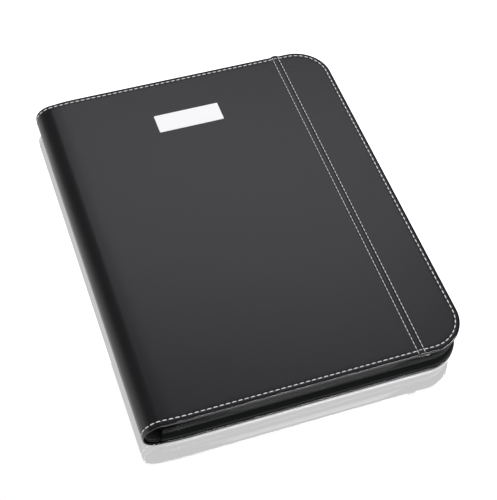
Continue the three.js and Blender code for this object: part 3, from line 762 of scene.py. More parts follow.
def arris_finish(rows, sizes, count=None):
    """The material's index for the faces after a row: 1 on the burnished arris, at the end of a
    grid of that many rows as at its start."""
    turned = rows[0][1] - UNDER / 2

    def on_arris(row):
        inset, depth = rows[row]
        outer = depth < sizes.edge_drop + sizes.arris + CLOSE
        return inset < sizes.arris - CLOSE and (outer or depth > turned)

    def finish_of(column, row):
        near = row if row < len(rows) - 1 else (count or 0) - 2 - row
        return 1 if 0 <= near < len(rows) and on_arris(near) else 0

    return finish_of


def unfolded(rows):
    """How far each row lies from the edge once the leather is laid flat."""
    reach = rows[-1][0]
    values = [reach]
    for (inset, depth), (inner, deeper) in zip(reversed(rows[:-1]), reversed(rows[1:])):
        reach -= math.hypot(inner - inset, deeper - depth)
        values.append(reach)
    return values[::-1]


def stitch_count(total, pitch):
    return max(1, round(total / pitch))


SHOULDER_BACK = 0.004
SHOULDER_PANEL = 0.022
SHOULDER_SPINE = 0.016


def shoulder_share(beyond):
    """How much of the shoulder's sink there is at a distance beyond the spine's joint. It falls
    away fast beside the joint and runs out slowly into the panel."""
    beside = beyond + SHOULDER_BACK
    if beside < 0:
        return eased(1 + beside / SHOULDER_SPINE)
    away = min(1, beside / SHOULDER_PANEL)
    return (1 - away) ** 4 * (1 + 4 * away)


def leather_relief(sizes, plan, total):
    """How far the leather sinks at an inset, a length of the stitch line and a run: a groove
    with needle holes under the stitching, and a soft shoulder beside the spine."""
    pitch = total / stitch_count(total, sizes.stitch_pitch)
    width = 0.0009

    def sink(inset, length, run):
        hole = 0.5 + 0.5 * math.cos(2 * math.pi * length / pitch)
        groove = math.exp(-((inset - sizes.stitch_inset) / width) ** 2)
        shoulder = sizes.shoulder * shoulder_share(run - plan.quarter)
        return sizes.groove * groove * (0.45 + 0.9 * hole) + shoulder

    return sink


def panel_grid(bm, plan, stations, rows, side, sink, thin=None, sizes=None):
    """The part of a cover and its half of the spine that lies between head and tail edges. Thin
    is the depth that the deepest row has on the spine."""
    flat_insets = unfolded(rows)
    middle = spread(-1, 1, 0.09)[1:-1]
    across = [(-1, inset, depth, flat) for (inset, depth), flat in zip(rows, flat_insets)]
    across += [(share, *rows[-1], rows[-1][0]) for share in middle]
    across += [(1, inset, depth, flat) for (inset, depth), flat in zip(reversed(rows), reversed(flat_insets))]

    def place(column, row):
        station = stations[column]
        share, inset, depth, flat = across[row]
        run = station.point.x
        reach = plan.half_length(run)
        point = Vector((run, share * (reach - inset)))
        if thin:
            on_cover = eased((run - plan.quarter + 0.002) / 0.006)
            depth *= (thin + (plan.rim - thin) * on_cover) / plan.rim
        lowered = depth + sink(inset, station.length, run)
        return plan.wrap(point, lowered, side), (run, share * (reach - flat))

    map_grid(bm, len(stations), len(across), place, sizes and arris_finish(rows, sizes, len(across)))


def corner_strip(bm, plan, stations, rows, side, sink, sizes=None):
    """The strip along the edge, round both fore-edge corners."""
    flat_insets = unfolded(rows)

    def place(column, row):
        station = stations[column]
        inset, depth = rows[row]
        point = station.point - station.out * inset
        flat = station.point - station.out * flat_insets[row]
        lowered = depth + sink(inset, station.length, station.point.x)
        return plan.wrap(point, lowered, side), (flat.x, flat.y)

    map_grid(bm, len(stations), len(rows), place, sizes and arris_finish(rows, sizes))


def fill_middle(bm, plan, inset, seam_run):
    """Closes the flat field inside the strip, from the seam to the fore-edge."""
    flat = bm.loops.layers.uv[FLAT_MAP]
    seam_x = seam_run - plan.quarter + plan.spine_x
    reach = plan.half - inset + CLOSE

    def inner(vert):
        return abs(vert.co.y) < reach and seam_x - CLOSE < vert.co.x < BACK_HIGH.x - inset + CLOSE

    border = [edge for edge in bm.edges if edge.is_boundary and all(inner(vert) for vert in edge.verts)]
    ends = [vert for vert in {vert for edge in border for vert in edge.verts}
            if sum(edge in border for edge in vert.link_edges) == 1]
    if len(ends) == 2:
        border.append(bm.edges.new(ends))
    made = bmesh.ops.triangle_fill(bm, use_beauty=True, use_dissolve=False, edges=border)["geom"]
    for face in made:
        if isinstance(face, bmesh.types.BMFace):
            for loop in face.loops:
                loop[flat].uv = (plan.run_at(loop.vert.co.x), loop.vert.co.y)


def whole_sheet(plan, stations, rows, side, sink, thin=None, sizes=None):
    """A sheet over a whole cover and its half of the spine."""
    bm = bmesh.new()
    panel_grid(bm, plan, along_tail(stations, 0, plan.seam_left), rows, side, sink, thin, sizes)
    corner_strip(bm, plan, round_fore_edge(stations, plan.seam_left), rows, side, sink, sizes)
    bmesh.ops.remove_doubles(bm, verts=bm.verts, dist=CLOSE)
    fill_middle(bm, plan, rows[-1][0], plan.seam_left)
    return bm


def spine_blend(piece, side):
    """Bakes the transform of a piece over the spine into its mesh."""
    if side > 0:
        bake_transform(piece)
    else:
        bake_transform(piece)


class PORTFOLIO_OT_covers(bpy.types.Operator):
    """Makes the leather of the back cover, the front panels and the spine between them"""

    bl_idname = "portfolio.covers"
    bl_label = "Leather covers and spine"

    def execute(self, context):
        sizes = settings().case
        plan = Plan(sizes)
        stations = plan.leather_edge()
        total = stations[-1].length
        rows = edge_rows(plan, sizes)
        sink = leather_relief(sizes, plan, total)
        leather = [finish("leather_black"), finish("leather_arris")]

        back = finish_piece("back_cover_skin",
                            whole_sheet(plan, stations, rows, -1, sink, sizes.spine_rim, sizes), leather,
                            slot="leather", nodes=("back_cover_leather", "spine_leather"), way=(0, 0, -1))
        thicken(back, sizes.skin)
        spine_blend(back, -1)

        bm = bmesh.new()
        panel_grid(bm, plan, along_tail(stations, 0, plan.seam_left), rows, 1, sink, sizes.spine_rim, sizes)
        front = finish_piece("front_cover_skin", bm, leather, slot="leather",
                             nodes=("front_cover_leather", "spine_leather"), way=(0, 0, 1))
        thicken(front, sizes.skin)
        spine_blend(front, 1)

        bm = bmesh.new()
        panel_grid(bm, plan, along_tail(stations, plan.seam_right, plan.beyond_seam), rows, 1, sink, None,
                   sizes)
        corner_strip(bm, plan, round_fore_edge(stations, plan.beyond_seam), rows, 1, sink, sizes)
        bmesh.ops.remove_doubles(bm, verts=bm.verts, dist=CLOSE)
        fill_middle(bm, plan, rows[-1][0], plan.beyond_seam)
        fore = finish_piece("fore_edge_skin", bm, leather, "front_cover", "leather", ("fore_edge_panel",),
                            way=(0, 0, 1))
        thicken(fore, sizes.skin)
        return {"FINISHED"}


def foam_block(plan, node, side):
    """The foam of a cover, thinned beside the spine where the leather rolls off."""
    low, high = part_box(node)
    inset = plan.half - high.y
    bm = bmesh.new()
    corners = [bm.verts.new((s.point.x - plan.quarter + plan.spine_x - s.out.x * inset,
                             s.point.y - s.out.y * inset, low.z))
               for s in plan.edge([plan.run_at(low.x), plan.quarter + plan.draw_length], 0.003)]
    raised = bmesh.ops.extrude_face_region(bm, geom=[bm.faces.new(corners)])["geom"]
    bmesh.ops.translate(bm, vec=(0, 0, high.z - low.z),
                        verts=[vert for vert in raised if isinstance(vert, bmesh.types.BMVert)])
    for x in spread(low.x, low.x + SHOULDER_PANEL, 0.003)[1:]:
        bmesh.ops.bisect_plane(bm, geom=bm.verts[:] + bm.edges[:] + bm.faces[:], plane_co=(x, 0, 0),
                               plane_no=(1, 0, 0))
    shoulder = settings().case.shoulder
    thinnest = 0.0001
    middle = (low.z + high.z) / 2
    for vert in bm.verts:
        if side * (vert.co.z - middle) > 0:
            sunk = shoulder * shoulder_share(plan.run_at(vert.co.x) - plan.quarter)
            vert.co.z -= side * min(sunk, high.z - low.z - thinnest)
    return bm


class PORTFOLIO_OT_padding(bpy.types.Operator):
    """Makes the foam and spine stiffener under the leather, and gives the boards their finish"""

    bl_idname = "portfolio.padding"
    bl_label = "Foam, boards and stiffener"

    def execute(self, context):
        plan = Plan(settings().case)
        for side, body in ((1, "front_cover"), (-1, "back_cover")):
            node = "front_padding" if side > 0 else "back_padding"
            foam = finish_piece(node + "_foam", foam_block(plan, node, side), finish("padding_foam"), body,
                                "padding", (node,), smooth=False)
            for board_slot in frame["nodes"][f"{body}_board"].material_slots:
                board_slot.material = finish("grey_board")
        low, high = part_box("spine_stiffener")
        outer = plan.radius - (low.x - (plan.spine_x - plan.radius))
        for side, name in ((1, "front"), (-1, "back")):
            runs = spread(0, plan.quarter * 0.955, plan.facet)
            ys = spread(low.y, high.y, 0.01)
            bm = bmesh.new()

            def place(column, row):
                flat = Vector((runs[column], ys[row]))
                return plan.wrap(flat, plan.radius - outer, side), (runs[column], ys[row])

            map_grid(bm, len(runs), len(ys), place)
            sheet = finish_piece(f"spine_stiffener_{name}", bm, finish("stiffener_plastic"), slot="stiffener",
                                 nodes=("spine_stiffener",), way=(-1, 0, 0))
            thicken(sheet, 0.001)
            spine_blend(sheet, side)
        return {"FINISHED"}


# Linings

LINING_EDGE = 0.0021
SPINE_LINING_RISE = 0.001


class PORTFOLIO_OT_linings(bpy.types.Operator):
    """Makes the woven linings of both covers, run on over the inside of the spine"""

    bl_idname = "portfolio.linings"
    bl_label = "Linings and their stitching"

    def execute(self, context):
        sizes = settings().case
        plan = Plan(sizes)
        stations = plan.leather_edge()
        line = Line([s.point - s.out * plan.stitch_inset for s in stations])
        step = line.total / stitch_count(line.total, sizes.stitch_pitch)
        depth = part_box("back_lining")[1].z
        rows = [(LINING_EDGE, depth - 0.0006), (LINING_EDGE, depth - 0.0003), (LINING_EDGE + 0.0003, depth)]
        rows += [(inset, depth) for inset in (0.0027, 0.0031, 0.0034, 0.0038, 0.0044, 0.0055, 0.008, 0.012)]

        def rise(run):
            return -SPINE_LINING_RISE * (1 - eased((run - plan.quarter + 0.003) / 0.004))

        def sink(inset, length, run):
            hole = 0.5 + 0.5 * math.cos(2 * math.pi * length / step)
            groove = math.exp(-((inset - sizes.stitch_inset) / 0.0007) ** 2)
            return rise(run) - 0.0002 * groove * (0.4 + 0.6 * hole)

        for side, name in ((1, "front"), (-1, "back")):
            sheet = finish_piece(f"{name}_lining_cloth", whole_sheet(plan, stations, rows, side, sink),
                                 finish("lining_cloth"), slot="lining",
                                 nodes=(f"{name}_lining", "spine_lining"),
                                 way=(0, 0, -side))
            thicken(sheet, 0.0005)
            spine_blend(sheet, side)
            form = stitch_form(sizes.stitch_pitch * 0.76, sizes.thread * 0.8)
            bm = bmesh.new()

            def at(length):
                flat = line.at(length)
                return plan.wrap(flat, depth + rise(flat.x) - 0.00005, side)

            def up(length):
                return -plan.way_out(line.at(length), side)

            sew_row(bm, form, sizes.stitch_pitch, line.total, at, up)
            row = finish_piece(f"{name}_lining_stitching", bm, finish("thread_black"), slot="lining",
                               tidy=False)
            spine_blend(row, side)
        return {"FINISHED"}


# Strip over the joint of the front panels

def band_section(share):
    """Height of the strip over the leather at a share of its half width: lips outside the two
    stitch rows and a puffed middle."""
    crown = BAND_HIGH.z - FRONT_HIGH.z
    reach = abs(share)
    lip = 0.5 * crown * math.sqrt(max(0, 1 - max(0, (reach - 0.86) / 0.14) ** 2))
    puff = crown * math.cos(min(reach / 0.78, 1) * math.pi / 2) ** 0.55
    groove = 0.34 * crown
    return max(groove, puff) if reach < 0.78 else groove + (lip - groove) * eased((reach - 0.78) / 0.08)


def band_path(plan, sizes):
    """The strip's middle line over the front, turned down at tail and head: y, z and way out."""
    turn = plan.top - BAND_LOW.z
    arris = sizes.arris
    flat_end = plan.half - arris
    tail = [(-plan.half, z, -1, 0) for z in spread(plan.top - turn, plan.top - arris, plan.facet)]
    for angle in spread(0, math.pi / 2, math.pi / 8)[1:-1]:
        tail.append((-flat_end - arris * math.cos(angle), plan.top - arris + arris * math.sin(angle),
                     -math.cos(angle), math.sin(angle)))
    middle = [(y, plan.top, 0, 1) for y in spread(-flat_end, flat_end, plan.facet)]
    head = [(-y, z, -out_y, out_z) for y, z, out_y, out_z in reversed(tail)]
    return tail + middle + head


def lengths_along(path):
    lengths = [0]
    for start, end in zip(path, path[1:]):
        lengths.append(lengths[-1] + math.hypot(end[0] - start[0], end[1] - start[1]))
    return lengths


STITCH_SHARE = 0.78


class PORTFOLIO_OT_seam_band(bpy.types.Operator):
    """Makes the puffed strip sewn over the joint of the two front panels"""

    bl_idname = "portfolio.seam_band"
    bl_label = "Puffed strip"

    def execute(self, context):
        sizes = settings().case
        plan = Plan(sizes)
        centre = (BAND_LOW.x + BAND_HIGH.x) / 2
        half = (BAND_HIGH.x - BAND_LOW.x) / 2
        path = band_path(plan, sizes)
        lengths = lengths_along(path)
        pitch = lengths[-1] / stitch_count(lengths[-1], sizes.band_pitch)
        shares = [-1, -1, -0.96, -0.92, -0.86, -0.82, -0.78, -0.74, -0.68, -0.58, -0.44, -0.28, -0.1]
        shares += [-share for share in reversed(shares)]
        across = [(share, 0 if index in (0, len(shares) - 1) else band_section(share))
                  for index, share in enumerate(shares)]
        across += [(1, 0), (0.5, 0), (0, 0), (-0.5, 0), (-1, 0)]
        seen = len(shares)

        def place(column, row):
            y, z, out_y, out_z = path[column]
            share, rise = across[row]
            if row < seen:
                hole = 0.5 + 0.5 * math.cos(2 * math.pi * lengths[column] / pitch)
                near = math.exp(-((abs(share) - STITCH_SHARE) / 0.09) ** 2)
                rise = max(rise - near * sizes.groove * (0.2 + 0.8 * hole), 0)
                rise *= 1 - 0.08 * hole * (1 - share * share)
            x = centre + share * half
            return Vector((x, y + out_y * rise, z + out_z * rise)), (x, lengths[column] + rise)

        bm = bmesh.new()
        verts = map_grid(bm, len(path), len(across), place)
        close_tube(bm, verts)
        band = finish_piece("seam_band_skin", bm, finish("leather_black"), "front_cover", "leather",
                            ("seam_band",))
        return {"FINISHED"}


# Stitching

def stitch_form(length, width):
    """One stitch: a rounded length of thread whose ends dip into the leather."""
    bm = bmesh.new()
    bmesh.ops.create_cone(bm, segments=7, radius1=0.5, radius2=0.5, depth=1, cap_ends=True)
    sides = [edge for edge in bm.edges if abs(edge.verts[0].co.z - edge.verts[1].co.z) > 0.5]
    bmesh.ops.subdivide_edges(bm, edges=sides, cuts=5)
    bmesh.ops.rotate(bm, verts=bm.verts, cent=(0, 0, 0), matrix=Matrix.Rotation(math.pi / 2, 3, "Y"))
    flat = bm.loops.layers.uv.new(FLAT_MAP)
    for vert in bm.verts:
        end = abs(vert.co.x) * 2
        swell = math.sqrt(max(0.12, 1 - end ** 3.2))
        vert.co.y *= swell
        vert.co.z *= swell
        vert.co = Vector((vert.co.x * length, vert.co.y * width, vert.co.z * width * 0.8))
        vert.co.z += width * (0.2 - 0.34 * end ** 3)
    for face in bm.faces:
        for loop in face.loops:
            loop[flat].uv = loop.vert.co.xy
    mesh = bpy.data.meshes.new("stitch")
    bm.to_mesh(mesh)
    bm.free()
    return mesh


def sew(bm, form, place, along, up):
    """Adds one stitch at a place, along a direction, on a surface that faces up."""
    known = len(bm.verts)
    bm.from_mesh(form)
    bm.verts.ensure_lookup_table()
    along = along.normalized()
    side = up.cross(along).normalized()
    up = along.cross(side)
    matrix = Matrix((along, side, up)).transposed().to_4x4()
    matrix.translation = place
    bmesh.ops.transform(bm, matrix=matrix, verts=bm.verts[known:])


def sew_row(bm, form, pitch, total, at, up):
    """Sews a row with a stitch between each needle hole and the next."""
    count = stitch_count(total, pitch)
    step = total / count
    for index in range(count):
        start = at(index * step + step * 0.1)
        end = at((index + 1) * step - step * 0.1)
        sew(bm, form, (start + end) / 2, end - start, up((index + 0.5) * step))


class PORTFOLIO_OT_stitching(bpy.types.Operator):
    """Sews the white rows round both covers and along the strip"""

    bl_idname = "portfolio.stitching"
    bl_label = "White stitching"

    def execute(self, context):
        sizes = settings().case
        plan = Plan(sizes)
        stations = plan.leather_edge()
        line = Line([s.point - s.out * plan.stitch_inset for s in stations])
        thread = finish("thread_white")
        form = stitch_form(sizes.stitch_pitch * 0.74, sizes.thread)
        centre = (BAND_LOW.x + BAND_HIGH.x) / 2
        half = (BAND_HIGH.x - BAND_LOW.x) / 2
        for name, side, slot_name in (("front_edge_stitching", 1, "leather"),
                                      ("back_edge_stitching", -1, "leather")):
            bm = bmesh.new()

            def at(length):
                flat = line.at(length)
                point = plan.wrap(flat, sizes.groove * 0.6, side)
                share = (point.x - centre) / half
                if side > 0 and abs(share) < 1:
                    point.z += band_section(share)
                return point

            def up(length):
                return plan.way_out(line.at(length), side)

            sew_row(bm, form, sizes.stitch_pitch, line.total, at, up)
            piece = finish_piece(name, bm, thread, slot=slot_name, tidy=False)
            spine_blend(piece, side)

        path = band_path(plan, sizes)
        lengths = lengths_along(path)
        form = stitch_form(sizes.band_pitch * 0.86, sizes.thread * 0.8)
        bm = bmesh.new()
        rise = band_section(STITCH_SHARE) - sizes.groove * 0.7
        for side in (-1, 1):
            row = Line([Vector((centre + side * STITCH_SHARE * half, y + out_y * rise, z + out_z * rise))
                        for y, z, out_y, out_z in path])
            outs = [Vector((0, out_y, out_z)) for _, _, out_y, out_z in path]

            def out_at(length, lengths=row.lengths):
                return outs[min(bisect_left(lengths, length), len(outs) - 1)]

            sew_row(bm, form, sizes.band_pitch, row.total, row.at, out_at)
            if side > 0:
                foot = sizes.band_pitch / 2
                sew(bm, form, row.at(0) + Vector((foot, 0, 0)), Vector((1, 0, 0)), outs[0])
        finish_piece("seam_band_stitching", bm, thread, "front_cover", "leather", tidy=False)
        return {"FINISHED"}


class PORTFOLIO_OT_plate(bpy.types.Operator):
    """Makes the bare white plate near the head"""

    bl_idname = "portfolio.plate"
    bl_label = "Bare plate"

    def execute(self, context):
        low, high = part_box("name_plate")
        bm = rounded_block(low, high, 0.0008)
        plate = finish_piece("bare_plate", bm, finish("plate_white"), "front_cover", "plate", ("name_plate",))
        soften(plate, 0.00018, 3)
        return {"FINISHED"}


def rounded_block(low, high, radius, axis=2):
    """A block between two corners, its edges along one axis rounded."""
    bm = bmesh.new()
    bmesh.ops.create_cube(bm, size=1)
    bmesh.ops.scale(bm, vec=high - low, verts=bm.verts)
    bmesh.ops.translate(bm, vec=(low + high) / 2, verts=bm.verts)
    if radius:
        turned = [edge for edge in bm.edges
                  if abs((edge.verts[0].co - edge.verts[1].co).normalized()[axis]) > 0.9]
        bmesh.ops.bevel(bm, geom=turned, offset=radius, segments=5, profile=0.5, affect="EDGES", material=-1)
    return bm


# Zip

def zip_stations(plan, start_x, step, share):
    """Stations of the covers' edge for the zip, which starts beside the spine."""
    return plan.edge([plan.run_at(start_x), plan.quarter + plan.draw_length], step, share)


TAPE_STEPS = 3
TAPE_WALL_ROWS = {1: (7, 20), -1: (7, 13)}


def tape_section(plan, tape):
    """Section of the lower tape: its flange in the seam, its bulging wall, and the edge behind
    the coil, as inset, height and how far it follows the covers' draw-in; then the inset and
    height that it has where it sags."""
    flange = plan.rim + tape / 2
    rise = (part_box("zip_tape_lower")[1].z - flange)
    points = [(0.009, 0, 1, 0.009, 0), (0.0045, 0, 1, 0.0045, 0), (0.0019, 0, 1, 0.0019, 0),
              (0.00128, 0.07, 1, 0.0012, 0.07), (0.0012, 0.27, 1, 0.00105, 0.31),
              (0.00148, 0.48, 0.85, 0.001, 0.59), (0.00258, 0.64, 0.4, 0.0013, 0.84),
              (0.0034, 0.76, 0.1, 0.0022, 0.94), (0.0038, 1, 0, 0.0036, 0.97),
              (0.0047, 1.08, 0, 0.0047, 1.08)]
    section = [Vector((inset, flange + share * rise, follow, sag_inset, flange + sag_share * rise))
               for inset, share, follow, sag_inset, sag_share in points]
    section.append(Vector((0.0049, plan.mid - 0.0004, 0, 0.0049, plan.mid - 0.0004)))
    return smooth_through(section, TAPE_STEPS)


def tape_swell(plan, sizes, station, start_run):
    """How far the upper tape swells out and sags: fully along the middle of the tail, and not
    beside the spine or from the fore-edge corner on."""
    if station.out.y > CLOSE:
        return 0
    from_spine = (station.point.x - start_run) / sizes.swell_start
    from_corner = (plan.end - plan.corner - station.point.x) / sizes.swell_end
    return eased(from_spine) * eased(from_corner)


def add_tape(plan, sizes, side):
    """One zip tape; side is 1 for the front cover's and -1 for the back cover's."""
    section = tape_section(plan, sizes.tape)
    start_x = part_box("zip_tape_lower")[0].x
    tuck_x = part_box("zip_bottom_stop")[0].x
    paths = {}
    for bend in section:
        key = round(bend[2], 4)
        if key not in paths:
            paths[key] = zip_stations(plan, start_x, 0.002, bend[2])
    reach = [0]
    for start, end in zip(section, section[1:]):
        reach.append(reach[-1] + math.hypot(end[0] - start[0], end[1] - start[1]))

    def place(column, row):
        inset, height, follow, sag_inset, sag_height = section[row]
        station = paths[round(follow, 4)][column]
        if side > 0:
            swell = tape_swell(plan, sizes, station, plan.run_at(start_x))
            drawn = (1 - swell) * (1 - eased(2 * station.out.y)) * eased((height - section[0][1]) / 0.0015)
            inset += swell * (sag_inset - inset) + sizes.draw_in * drawn * follow
            height += swell * (sag_height - height)
        point = station.point - station.out * inset
        z = plan.top - height if side > 0 else height
        x = point.x - plan.quarter + plan.spine_x
        if point.y < 0:
            point.y += sizes.tuck * eased((tuck_x - x) / (tuck_x - start_x)) * (1 - follow)
        return Vector((x, point.y, z)), (station.length, reach[row])

    rim_path = paths[1]

    def shine(column, row):
        if not TAPE_WALL_ROWS[side][0] <= row < TAPE_WALL_ROWS[side][1]:
            return 0
        if side < 0:
            return WALL_SHINES
        return round(WALL_SHINES * tape_swell(plan, sizes, rim_path[column], plan.run_at(start_x)))

    bm = bmesh.new()
    map_grid(bm, len(rim_path), len(section), place, shine)
    node = "zip_tape_upper" if side > 0 else "zip_tape_lower"
    body = "front_cover" if side > 0 else "back_cover"
    cloths = [finish("zip_tape_cloth")] + [finish(f"zip_wall_cloth_{step + 1}")
                                           for step in range(WALL_SHINES)]
    tape = finish_piece(node + "_cloth", bm, cloths, body, "tape", (node,))
    modifier = thicken(tape, sizes.tape).modifiers["Thickness"]
    modifier.offset = 0
    modifier.use_even_offset = False
    return tape


def add_coil(plan, sizes, side):
    """One half of the coil: a continuous flattened helix whose heads pass the middle."""
    low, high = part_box("zip_coil_lower")
    slider_low, slider_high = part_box("zip_slider")
    thickness = 0.0024
    inset = plan.half - high.y + thickness / 2
    stations = zip_stations(plan, low.x, 0.0006, 0)
    points = [station.point - station.out * inset for station in stations]
    line = Line(points)
    outs = Line([station.out.copy() for station in stations])
    outs.lengths = line.lengths
    last = plan.run_at((slider_low.x + slider_high.x) / 2)
    spare = last - plan.run_at(low.x)
    total = line.total - max(spare, 0) if last > plan.run_at(low.x) else line.total
    turns = int(total / sizes.pitch)
    wire = sizes.wire / 2
    width = (high.z - low.z) / 2
    heads = -0.00042
    outer = 0.003 - wire
    zc = (outer + heads + wire) / 2
    reach = (outer - heads - wire) / 2
    bulge = thickness / 2 - wire
    steps = 11
    centres, ways, ups = [], [], []
    for index in range(turns * steps + 1):
        turn = index / steps
        angle = 2 * math.pi * turn
        along = sizes.pitch * (turn - 0.12 * math.sin(angle) + (0.5 if side > 0 else 0)) + sizes.pitch * 0.3
        flat = line.at(min(along, line.total))
        out = outs.at(min(along, line.total)).normalized()
        cosine, sine = math.cos(angle), math.sin(angle)
        height = zc - reach * math.copysign(abs(cosine) ** 0.8, cosine)
        depth = bulge * math.copysign(abs(sine) ** 0.7, sine)
        x = flat.x - plan.quarter + plan.spine_x
        centres.append(Vector((x + out.x * depth, flat.y + out.y * depth, plan.mid + side * height)))
    for index, centre in enumerate(centres):
        ahead = centres[min(index + 1, len(centres) - 1)] - centres[max(index - 1, 0)]
        along = sizes.pitch * index / steps
        out = outs.at(min(along, line.total)).normalized()
        across = Vector((-out.y, out.x, 0))
        way = (across - ahead * (across.dot(ahead) / ahead.length_squared)).normalized()
        ways.append(way)
        ups.append(ahead.cross(way).normalized())
    bm = bmesh.new()
    tube(bm, centres, ways, ups, wire, wire, 5)
    node = "zip_coil_upper" if side > 0 else "zip_coil_lower"
    body = "front_cover" if side > 0 else "back_cover"
    return finish_piece(node + "_turns", bm, finish("coil_nylon"), body, "coil", (node,))


def add_coil_thread(plan, sizes, side):
    """The thread that sews a half of the coil to its tape, over the turns."""
    low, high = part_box("zip_coil_lower")
    inset = plan.half - high.y
    stations = zip_stations(plan, low.x, sizes.pitch / 2, 0)
    centres, outs, ups = [], [], []
    for index, station in enumerate(stations):
        sunk = inset + (0.0003 if index % 2 else 0) - 0.00005
        flat = station.point - station.out * sunk
        x = flat.x - plan.quarter + plan.spine_x
        centres.append(Vector((x, flat.y, plan.mid + side * 0.0021)))
        outs.append(Vector((*station.out, 0)))
        ups.append(Vector((0, 0, 1)))
    bm = bmesh.new()
    tube(bm, centres, outs, ups, 0.00018, 0.00032, 5)
    body = "front_cover" if side > 0 else "back_cover"
    name = "zip_coil_upper_sewing" if side > 0 else "zip_coil_lower_sewing"
    return finish_piece(name, bm, finish("zip_tape_cloth"), body, "tape")


class PORTFOLIO_OT_zip(bpy.types.Operator):
    """Makes the zip's tapes, coils, stops and end tab"""

    bl_idname = "portfolio.zip"
    bl_label = "Coil zip"

    def execute(self, context):
        plan = Plan(settings().case)
        sizes = settings().zip
        for side in (-1, 1):
            add_tape(plan, sizes, side)
            add_coil(plan, sizes, side)
            add_coil_thread(plan, sizes, side)
        for node, body in (("zip_top_stop_upper", "front_cover"), ("zip_top_stop_lower", "back_cover")):
            low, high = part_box(node)
            stop = finish_piece(node + "_clamp", rounded_block(low, high, 0.0004, 0), finish("bright_nickel"),
                                body, "metal", (node,))
            soften(stop, 0.00015, 2)
        low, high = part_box("zip_bottom_stop")
        stop = finish_piece("zip_bottom_stop_moulding", rounded_block(low, high, 0.0006, 0),
                            finish("stiffener_plastic"), "back_cover", "coil", ("zip_bottom_stop",))
        soften(stop, 0.0002, 2)
        low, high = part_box("zip_end_tab")
        tab = finish_piece("zip_end_tab_leather", rounded_block(low, high, 0.0012, 1), finish("leather_tab"),
                           "back_cover", "leather", ("zip_end_tab",))
        soften(tab, 0.0003, 3)
        return {"FINISHED"}


# Slider and pull

def refined_copy(node, name, material, body, slot, width, segments=2):
    """A copy of a hard piece with its flat faces merged and its edges rounded."""
    bm = bmesh.new()
    bm.from_mesh(frame["nodes"][node].data)
    bmesh.ops.remove_doubles(bm, verts=bm.verts, dist=1e-6)
    bmesh.ops.dissolve_limit(bm, angle_limit=math.radians(1), verts=bm.verts, edges=bm.edges)
    piece = finish_piece(name, bm, material, body, slot, (node,), tidy=False)
    return soften(piece, width, segments)


class PORTFOLIO_OT_slider(bpy.types.Operator):
    """Makes the zip's slider, its link and its pull"""

    bl_idname = "portfolio.slider"
    bl_label = "Slider, link and pull"

    def execute(self, context):
        nickel = finish("bright_nickel")
        refined_copy("zip_slider", "slider_body", nickel, "zip_slider", "metal", 0.00022, 3)
        refined_copy("zip_pull", "pull_plate", nickel, "pull", "metal", 0.0002, 3)
        joints = frame["record"]["behaviour"]["joints"]
        bar, eye = (Vector(joint["pos_m"]) for name in ("link_swing", "pull_swing")
                    for joint in joints if joint["name"] == name)
        wire = 0.0005
        radius = 0.0016
        along = (eye - bar).normalized()
        across = Vector((1, 0, 0)).cross(along)
        length = (eye - bar).length
        points = []
        for start, end, centre in ((-90, 90, length), (90, 270, 0)):
            for angle in spread(start, end, 12):
                turn = math.radians(angle)
                points.append(bar + along * (centre + radius * math.cos(turn)) + across * radius * math.sin(turn))
        points.append(points[0])
        centres = [start.lerp(end, step / 2) for start, end in zip(points, points[1:]) for step in (0, 1)]
        centres.append(points[0])
        middle = bar.lerp(eye, 0.5)
        outs = [(point - middle).normalized() for point in centres]
        bm = bmesh.new()

        def place(column, row):
            angle = 2 * math.pi * row / 12
            offset = outs[column] * (wire * math.cos(angle)) + Vector((wire * math.sin(angle), 0, 0))
            return centres[column] + offset, (column * wire, row * wire)

        map_grid(bm, len(centres), 13, place)
        bmesh.ops.remove_doubles(bm, verts=bm.verts, dist=2e-6)
        finish_piece("pull_link_ring", bm, nickel, "pull_link", "metal", ("zip_pull_link",))
        return {"FINISHED"}


# Writing pad and its sleeve

SHEET_LAYERS = 9


